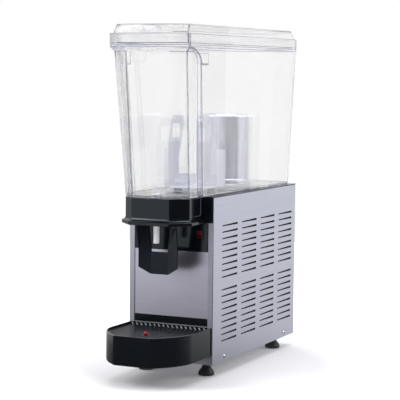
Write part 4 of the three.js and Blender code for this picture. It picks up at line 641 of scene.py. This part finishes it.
def pick(piece, kind, wanted):
    """Selects the edges, faces or points in edit mode whose middle passes a test."""
    take_up(piece)
    bpy.ops.object.mode_set(mode="EDIT")
    bpy.ops.mesh.select_mode(type=kind)
    bpy.ops.mesh.select_all(action="DESELECT")
    bpy.ops.object.mode_set(mode="OBJECT")
    points = piece.data.vertices
    if kind == "VERT":
        for point in points:
            point.select = wanted(point.co)
    elif kind == "EDGE":
        for edge in piece.data.edges:
            edge.select = wanted((points[edge.vertices[0]].co + points[edge.vertices[1]].co) / 2)
    else:
        for face in piece.data.polygons:
            face.select = wanted(face.center)
    bpy.ops.object.mode_set(mode="EDIT")


def cut_out(piece, cutter):
    """Cuts a piece by another one, which is used up."""
    take_up(piece)
    cut = piece.modifiers.new("cut", "BOOLEAN")
    cut.operation = "DIFFERENCE"
    cut.solver = "EXACT"
    cut.object = cutter
    bpy.ops.object.modifier_apply(modifier=cut.name)
    bpy.data.objects.remove(cutter)


def mirrored(piece):
    """A copy of a piece, with its own mesh, for the machine's other side."""
    copy = bpy.data.objects.new(piece.name + "_copy", piece.data.copy())
    bpy.context.scene.collection.objects.link(copy)
    take_up(copy)
    copy.scale.x = -1
    bpy.ops.object.transform_apply(location=False, rotation=False, scale=True)
    bpy.ops.object.mode_set(mode="EDIT")
    bpy.ops.mesh.select_all(action="SELECT")
    bpy.ops.mesh.normals_make_consistent(inside=False)
    bpy.ops.object.mode_set(mode="OBJECT")
    bpy.ops.mesh.customdata_custom_splitnormals_clear()
    settle(copy, 35)
    return copy


def in_rows(piece):
    """Repeats a louvre's punch over the side in its columns, rows and two groups."""
    take_up(piece)
    for count, step in (
        (louvre_columns, (0, louvre_run, 0)),
        (louvre_rows, (0, 0, -louvre_rise)),
        (louvre_groups, (0, 0, -louvre_rise * (louvre_rows + 1))),
    ):
        row = piece.modifiers.new("row", "ARRAY")
        row.count = count
        row.use_relative_offset = False
        row.use_constant_offset = True
        row.constant_offset_displace = step
        bpy.ops.object.modifier_apply(modifier=row.name)


side_low, side_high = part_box("side_panel_right")
side_middle = (side_low + side_high) / 2
let_go()
bpy.ops.mesh.primitive_plane_add(
    size=1, location=(side_high.x, side_middle.y, side_middle.z), rotation=sideways
)
# the plane lies flat until its turn is applied, so its X is the panel's height
panel = added((side_high.z - side_low.z, side_high.y - side_low.y, 1))
for end in (side_low.y, side_high.y):
    pick(panel, "EDGE", lambda place: abs(place.y - end) < near)
    bpy.ops.mesh.extrude_region_move(TRANSFORM_OT_translate={"value": (-side_return, 0, 0)})
for end in (side_low.y, side_high.y):
    pick(panel, "EDGE", lambda place: abs(place.y - end) < near and place.x > side_high.x - near)
    bpy.ops.mesh.bevel(offset=fold_radius, segments=4)
bpy.ops.mesh.select_all(action="SELECT")
bpy.ops.mesh.normals_make_consistent(inside=False)
bpy.ops.object.mode_set(mode="OBJECT")
folded = panel.modifiers.new("folded", "SOLIDIFY")
folded.thickness = side_sheet
outward_share = sum(face.normal.x * face.area for face in panel.data.polygons)
folded.offset = -1 if outward_share > 0 else 1
bpy.ops.object.modifier_apply(modifier=folded.name)

# each louvre is round and wide at its rear end and narrows towards the front
round_end = Vector((
    side_high.x,
    side_low.y + louvre_start + louvre_length - louvre_wide,
    side_high.z - louvre_top,
))
let_go()
bpy.ops.mesh.primitive_cylinder_add(
    vertices=12, radius=louvre_wide, depth=punch_depth, rotation=sideways, location=round_end
)
punch = added()
pick(punch, "VERT", lambda place: place.y < round_end.y - near)
narrowing = louvre_narrow / louvre_wide
bpy.ops.transform.resize(value=(1, narrowing, narrowing), center_override=round_end)
bpy.ops.transform.translate(value=(0, louvre_wide + louvre_narrow - louvre_length, 0))
bpy.ops.object.mode_set(mode="OBJECT")
in_rows(punch)
screw_heads = {}
for place in ("front", "rear"):
    screw_heads[place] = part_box("screw_right_" + place)
    head = (screw_heads[place][0] + screw_heads[place][1]) / 2
    let_go()
    bpy.ops.mesh.primitive_cylinder_add(
        vertices=16, radius=screw_hole, depth=punch_depth, rotation=sideways,
        location=(side_high.x, head.y, head.z),
    )
    punch = joined([punch, added()])
cut_out(panel, punch)
round_edges(panel, 0.25 * mm, crease=40)
settle(panel, 35)

# a thin dark sheet behind the louvres is a painted shade: it stands in for the dark inside seen
# through them, and hides the cooling unit
shade_sheet_low = round_end.z - louvre_rise * (louvre_rows * louvre_groups) - shade_sheet_margin
shade_sheet_high = round_end.z + shade_sheet_margin
shade_sheet_front = side_low.y + louvre_start - shade_sheet_margin
louvres_reach = louvre_run * (louvre_columns - 1) + louvre_length
shade_sheet_rear = side_low.y + louvre_start + louvres_reach + shade_sheet_margin
let_go()
bpy.ops.mesh.primitive_cube_add(
    size=1,
    location=(
        side_high.x - side_sheet - shade_sheet_gap - shade_sheet_thick / 2,
        (shade_sheet_front + shade_sheet_rear) / 2,
        (shade_sheet_low + shade_sheet_high) / 2,
    ),
)
shade_sheet = added((shade_sheet_thick, shade_sheet_rear - shade_sheet_front, shade_sheet_high - shade_sheet_low))
round_edges(shade_sheet, 0.3 * mm)
settle(shade_sheet, 35)
set_in(mirrored(shade_sheet), "louvre_shade_sheet_left", louvre_shade_black, "cabinet", "black_rubber")
set_in(shade_sheet, "louvre_shade_sheet_right", louvre_shade_black, "cabinet", "black_rubber")
twin = mirrored(panel)
set_in(twin, "louvred_side_left", steel_side, "cabinet", "stainless_sheet", "side_panel_left")
set_in(panel, "louvred_side_right", steel_side, "cabinet", "stainless_sheet", "side_panel_right")

for place, (head_low, head_high) in screw_heads.items():
    head = (head_low + head_high) / 2
    screw = drawn_up([(z * mm, r * mm) for z, r in screw_rings], Vector((0, 0, 0)), 32)
    for turn in (0, 90):
        let_go()
        bpy.ops.mesh.primitive_cube_add(
            size=1, location=(0, 0, screw_rings[-1][0] * mm), rotation=(0, 0, radians(turn))
        )
        cut_out(screw, added((recess_long, recess_wide, 2 * recess_deep)))
    settle(screw, 40)
    shank_radius = screw_hole - shank_slack
    shank = drawn_up(
        [(head_low.x - side_high.x, shank_radius), (0, shank_radius)], Vector((0, 0, 0)), 16
    )
    settle(shank, 40)
    screw = joined([screw, shank])
    take_up(screw)
    screw.rotation_euler = (radians(screw_turn), radians(90), 0)
    screw.location = (side_high.x, head.y, head.z)
    bpy.ops.object.transform_apply(location=True, rotation=True, scale=True)
    twin = mirrored(screw)
    for side, piece in (("right", screw), ("left", twin)):
        end = side + "_" + place
        set_in(
            piece, "domed_screw_" + end, screw_steel, "cabinet", "polished_steel", "screw_" + end
        )

# ---- Top deck
# A flat black moulding that caps the cabinet. The bowl stands on it, and a skirt under it keeps
# the panels square.
dressed("top_deck", "deck_moulding", plate_black, "cabinet", "black_plastic", 0.5 * mm)

# ---- Evaporator
# An upright stainless cylinder, welded shut, with the cold refrigerant inside. It stands up
# through the bowl's floor, and a white rubber seal keeps the drink in round its foot.
cold_steel = brushed_finish(
    "drawn_steel", (0.70, 0.71, 0.80), (0.62, 0.63, 0.72), 0.20, (200, 200, 8)
)
seal_white = clouded_finish("seal_white", (0.80, 0.80, 0.83), (0.74, 0.74, 0.77), 0.5, 800)
dressed(
    "evaporator", "chilling_cylinder", cold_steel, "cabinet", "polished_steel",
    1.2 * mm, crease=35, smooth=60,
)
dressed(
    "evaporator_seal", "foot_seal", seal_white, "bowl", "seal_rubber",
    0.8 * mm, crease=50, smooth=60,
)

# ---- Tray, grille and float
# The black tray hangs on a folded steel shelf and lifts out towards the front. A thin moulded
# lattice lies in its rim, and a red float rises through it when the tray is full.
grille_black = clouded_finish(
    "grille_black", (0.018, 0.020, 0.026), (0.012, 0.014, 0.018), 0.25, 500
)
# painted highlight: the teeth's pale grey stands in for glints
teeth_glint_grey = clouded_finish("teeth_glint_grey", (0.62, 0.63, 0.68), (0.54, 0.55, 0.60), 0.3, 500)
float_red = clouded_finish("float_red", (0.42, 0.010, 0.014), (0.33, 0.006, 0.009), 0.25, 500)
tray_low, tray_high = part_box("drip_tray")
tray_half, tray_middle = tray_high.x, (tray_low.y + tray_high.y) / 2
tray_wall = 3.1 * mm
side_from_front, bend_from_front = 77.0 * mm, 33.0 * mm
bend_half, front_half = 81.0 * mm, 38.0 * mm
bend_steps = 7
grille_low, grille_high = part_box("drip_grille")
lattice_cell, lattice_cells, lattice_bar = 6.2 * mm, 40, 1.3 * mm
lattice_lift, lattice_drop = 0.2 * mm, 0.1 * mm
rim_band = 4.0 * mm
float_hole, eye_cut, eye_cut_depth, eye_band = 5.4 * mm, 1.6 * mm, 20 * mm, 2.2 * mm
tooth_count, tooth_run, tooth_long, tooth_radius = 17, 9.6 * mm, 5.6 * mm, 1.0 * mm
tooth_lean, tooth_inset, tooth_lift = -35, 6.5 * mm, 1.2 * mm
# the tray's right edge, from its back to the front, bowed by one control point
right_edge = [Vector((tray_half, tray_high.y, 0))]
for step in range(bend_steps + 1):
    share = step / bend_steps
    right_edge.append(
        (1 - share) ** 2 * Vector((tray_half, tray_low.y + side_from_front, 0))
        + 2 * share * (1 - share) * Vector((bend_half, tray_low.y + bend_from_front, 0))
        + share**2 * Vector((front_half, tray_low.y, 0))
    )
tray_corners = [Vector((-corner.x, corner.y, 0)) for corner in right_edge] + right_edge[::-1]


def trimmed_to_tray(piece, inwards):
    """Cuts a flat sheet to the tray's outline, moved inwards."""
    take_up(piece)
    bpy.ops.object.mode_set(mode="EDIT")
    for number, corner in enumerate(tray_corners):
        following = tray_corners[(number + 1) % len(tray_corners)]
        outwards = (following - corner).cross(Vector((0, 0, 1))).normalized()
        bpy.ops.mesh.select_all(action="SELECT")
        bpy.ops.mesh.bisect(
            plane_co=corner - outwards * inwards, plane_no=outwards,
            clear_outer=True, clear_inner=False,
        )
    bpy.ops.object.mode_set(mode="OBJECT")


def left_as_band(piece, width, each_cell=False):
    """Leaves only a band along a flat sheet's edge, or along the edges of each of its cells."""
    take_up(piece)
    bpy.ops.object.mode_set(mode="EDIT")
    bpy.ops.mesh.select_all(action="SELECT")
    bpy.ops.mesh.inset(thickness=width, use_individual=each_cell)
    bpy.ops.mesh.delete(type="FACE")
    bpy.ops.object.mode_set(mode="OBJECT")


def sheet_raised(piece, foot, top):
    """Gives a flat sheet its thickness between two heights."""
    take_up(piece)
    raised = piece.modifiers.new("raised", "SOLIDIFY")
    raised.thickness = top - foot
    raised.offset = 1
    bpy.ops.object.modifier_apply(modifier=raised.name)
    lowest = min(point.co.z for point in piece.data.vertices)
    bpy.ops.object.mode_set(mode="EDIT")
    bpy.ops.mesh.select_all(action="SELECT")
    bpy.ops.mesh.normals_make_consistent(inside=False)
    bpy.ops.transform.translate(value=(0, 0, foot - lowest))
    bpy.ops.object.mode_set(mode="OBJECT")


let_go()
bpy.ops.mesh.primitive_grid_add(
    x_subdivisions=lattice_cells, y_subdivisions=lattice_cells, size=lattice_cell * lattice_cells,
    location=(0, tray_middle, grille_low.z), rotation=(0, 0, radians(45)),
)
lattice = added()
left_as_band(lattice, lattice_bar / 2, each_cell=True)
trimmed_to_tray(lattice, tray_wall + rim_band / 2)
sheet_raised(lattice, grille_low.z + lattice_lift, grille_high.z - lattice_drop)

let_go()
bpy.ops.mesh.primitive_plane_add(size=4 * tray_half, location=(0, tray_middle, grille_low.z))
rim = added()
trimmed_to_tray(rim, tray_wall)
left_as_band(rim, rim_band)
sheet_raised(rim, grille_low.z, grille_high.z)
round_edges(rim, 0.5 * mm)
settle(rim, 35)

# the float's eye is a ring in the lattice
float_low, float_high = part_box("level_float")
eye_place = (0, (float_low.y + float_high.y) / 2, grille_low.z)
let_go()
bpy.ops.mesh.primitive_cylinder_add(
    vertices=32, radius=float_hole + eye_cut, depth=eye_cut_depth, location=eye_place
)
cut_out(lattice, added())
let_go()
bpy.ops.mesh.primitive_circle_add(
    vertices=32, radius=float_hole + eye_band, fill_type="NGON", location=eye_place
)
eye = added()
left_as_band(eye, eye_band)
sheet_raised(eye, grille_low.z, grille_high.z)
round_edges(eye, 0.4 * mm)
settle(eye, 35)
settle(lattice, 35)

# a row of slanted teeth stands along the grille's back edge, pale grey as a painted highlight for
# the glints along it
teeth = []
for number in range(tooth_count):
    along = (number - (tooth_count - 1) / 2) * tooth_run
    let_go()
    bpy.ops.mesh.primitive_cylinder_add(
        vertices=10, radius=tooth_radius, depth=tooth_long, rotation=(0, radians(tooth_lean), 0),
        location=(along, grille_high.y - tooth_inset, grille_high.z + tooth_lift),
    )
    tooth = added()
    round_edges(tooth, 0.3 * mm, crease=60)
    settle(tooth, 50)
    teeth.append(tooth)

dressed("tray_shelf", "shelf_folded", steel_side, "cabinet", "stainless_sheet", 0.4 * mm)
dressed(
    "drip_tray", "tray_moulding", plate_black, "tray", "black_plastic",
    0.9 * mm, segments=3, crease=35, smooth=50,
)
grille = joined([lattice, rim, eye])
set_in(grille, "grille_lattice", grille_black, "grille", "black_plastic", "drip_grille")
set_in(joined(teeth), "grille_teeth", teeth_glint_grey, "grille", "white_plastic")
dressed(
    "level_float", "float_moulding", float_red, "float", "red_plastic",
    0.3 * mm, crease=50, smooth=60,
)

# ---- Nose cover and tap
# A black shell under the bowl's neck hides the tap. The U-shaped lever turns on a steel pin in two
# cheeks of the cover, and a coil spring on the pin brings it back.
# painted reflection: a blue grey for the frames on the cover's sides
frame_sheen_grey = clouded_finish("frame_sheen_grey", (0.046, 0.062, 0.090), (0.038, 0.052, 0.078), 0.25, 500)
lever_black = clouded_finish(
    "lever_black", (0.006, 0.007, 0.011), (0.004, 0.005, 0.007), 0.15, 600,
    gloss_tint=(0.44, 0.52, 0.62),
)
tap_white = clouded_finish("tap_white", (0.86, 0.86, 0.90), (0.80, 0.80, 0.85), 0.35, 700)
frame_x, frame_front, frame_back = 67.6 * mm, -181 * mm, -146 * mm
frame_foot, frame_top = 312.5 * mm, 347 * mm
frame_proud, frame_wide, frame_round = 1.2 * mm, 2.2 * mm, 8.0 * mm
field_sunk = 1.8 * frame_proud
dressed(
    "nose_cover", "nose_moulding", plate_black, "cabinet", "black_plastic",
    0.9 * mm, segments=3, crease=20, smooth=45,
)
# a raised frame with round lower corners stands on each side wall of the cover; its blue grey,
# paler than the cover's black, is a painted reflection
let_go()
bpy.ops.mesh.primitive_cube_add(
    size=1, location=(frame_x, (frame_front + frame_back) / 2, (frame_foot + frame_top) / 2)
)
side_frame = added((2 * frame_proud, frame_back - frame_front, frame_top - frame_foot))
pick(
    side_frame, "EDGE",
    lambda place: abs(place.x - frame_x) < near and place.z < frame_foot + near,
)
bpy.ops.mesh.bevel(offset=frame_round, segments=6)
bpy.ops.object.mode_set(mode="OBJECT")
pick(side_frame, "FACE", lambda place: place.x > frame_x + frame_proud - near)
bpy.ops.mesh.inset(thickness=frame_wide)
bpy.ops.transform.translate(value=(-field_sunk, 0, 0))
bpy.ops.object.mode_set(mode="OBJECT")
round_edges(side_frame, 0.4 * mm, crease=40)
settle(side_frame, 40)
set_in(mirrored(side_frame), "nose_frame_left", frame_sheen_grey, "cabinet", "black_plastic")
set_in(side_frame, "nose_frame_right", frame_sheen_grey, "cabinet", "black_plastic")
dressed(
    "lever_pin", "lever_axle", screw_steel, "cabinet", "polished_steel",
    0.4 * mm, crease=50, smooth=50,
)
dressed("lever_spring", "return_coil", screw_steel, "cabinet", "polished_steel", 0, smooth=75)
dressed(
    "tap_lever", "lever_moulding", lever_black, "lever", "black_plastic",
    0.7 * mm, segments=3, crease=12,
)
dressed(
    "tap_piston", "piston_moulding", tap_white, "valve", "white_plastic",
    0.4 * mm, crease=50, smooth=60,
)
for place in ("lower", "upper"):
    dressed(
        "piston_ring_" + place, "ring_" + place, bush_rubber, "valve", "black_rubber",
        0, smooth=80,
    )

# ---- Bowl
# One clear moulding about three and a half millimetres thick. Its neck stands on the nose cover,
# two shoulders turn into arches below the rim, and the tap's outlet hangs from its floor.
clear_radius = 0.7 * mm
# edges shorter than this would fold over themselves when they are rounded
clear_short = 0.56 * mm
clear_bending, clear_haze = 1.49, 0.015
clear_fineness, clear_bump = 60, 0.02
straight_share = 0.22


def clear_finish(name, tint):
    """Clear moulded plastic. Lamps shine through it, so its own shadow is only a faint tint."""
    finish, tree, shell = new_finish(name)
    shell.inputs["Transmission Weight"].default_value = 1.0
    shell.inputs["IOR"].default_value = clear_bending
    shell.inputs["Base Color"].default_value = (*tint, 1)
    clouds, ripple = skin_over(tree, clear_fineness)
    feed(tree, shell.inputs["Roughness"], ranged(tree, clouds, high=clear_haze))
    emboss(tree, shell, ripple, clear_bump, skin_depth)
    light = tree.nodes.new("ShaderNodeLightPath")
    lamplight = combined(
        tree, "MAXIMUM", light.outputs["Is Shadow Ray"], light.outputs["Is Diffuse Ray"]
    )
    passing = tree.nodes.new("ShaderNodeBsdfTransparent")
    passing.inputs["Color"].default_value = (*tint, 1)
    # part of the light goes straight on, which keeps the far wall's image clean
    straight = combined(tree, "MAXIMUM", lamplight, straight_share)
    blend = tree.nodes.new("ShaderNodeMixShader")
    feed(tree, blend.inputs["Fac"], straight)
    feed(tree, blend.inputs[1], shell.outputs["BSDF"])
    feed(tree, blend.inputs[2], passing.outputs["BSDF"])
    feed(tree, tree.nodes["Material Output"].inputs["Surface"], blend.outputs["Shader"])
    return finish


bowl_clear = clear_finish("clear_bowl_plastic", (1.0, 1.0, 1.0))
# painted shade: a dark lavender clear for the rounded edges
edge_shade_clear = clear_finish("clear_edge_painted_shade", (0.20, 0.20, 0.34))


def clear_moulding(node, name, body):
    """A clear piece. Its rounded edges take a dark tinted clear, a painted shade for the dark lines
    at the edges of clear plastic.
    """
    piece = softened(node, 0)
    take_up(piece)
    bpy.ops.object.mode_set(mode="EDIT")
    bpy.ops.mesh.select_all(action="SELECT")
    bpy.ops.mesh.remove_doubles(threshold=clear_short)
    bpy.ops.object.mode_set(mode="OBJECT")
    piece.data.materials.clear()
    piece.data.materials.append(bowl_clear)
    piece.data.materials.append(edge_shade_clear)
    round_edges(piece, clear_radius, 3, 35, clamp=False)
    piece.modifiers["edge"].material = 1
    settle(piece, 45)
    kinds = [face.material_index for face in piece.data.polygons]
    set_in(piece, name, bowl_clear, body, "clear_plastic", node)
    piece.data.materials.append(edge_shade_clear)
    for face, kind in zip(piece.data.polygons, kinds):
        face.material_index = kind


clear_moulding("clear_bowl", "bowl_moulding", "bowl")

# ---- Agitator
# A white moulded paddle with two uneven slotted arms. It stands on a windowed hub over its magnet
# and turns on a short pin in the bowl's floor.
paddle_white = clouded_finish("paddle_white", (0.72, 0.73, 0.80), (0.68, 0.69, 0.76), 0.4, 600)
dressed(
    "agitator", "paddle_moulding", paddle_white, "stirrer", "white_plastic", 0.5 * mm, crease=35
)
dressed(
    "agitator_magnet", "paddle_magnet", magnet_black, "stirrer", "black_rubber",
    0.6 * mm, crease=50, smooth=50,
)

# ---- Lid
# A clear cover of the same plastic. It drops into the rim, rests on a ledge there and stands a
# little above it.
clear_moulding("clear_lid", "lid_moulding", "lid")
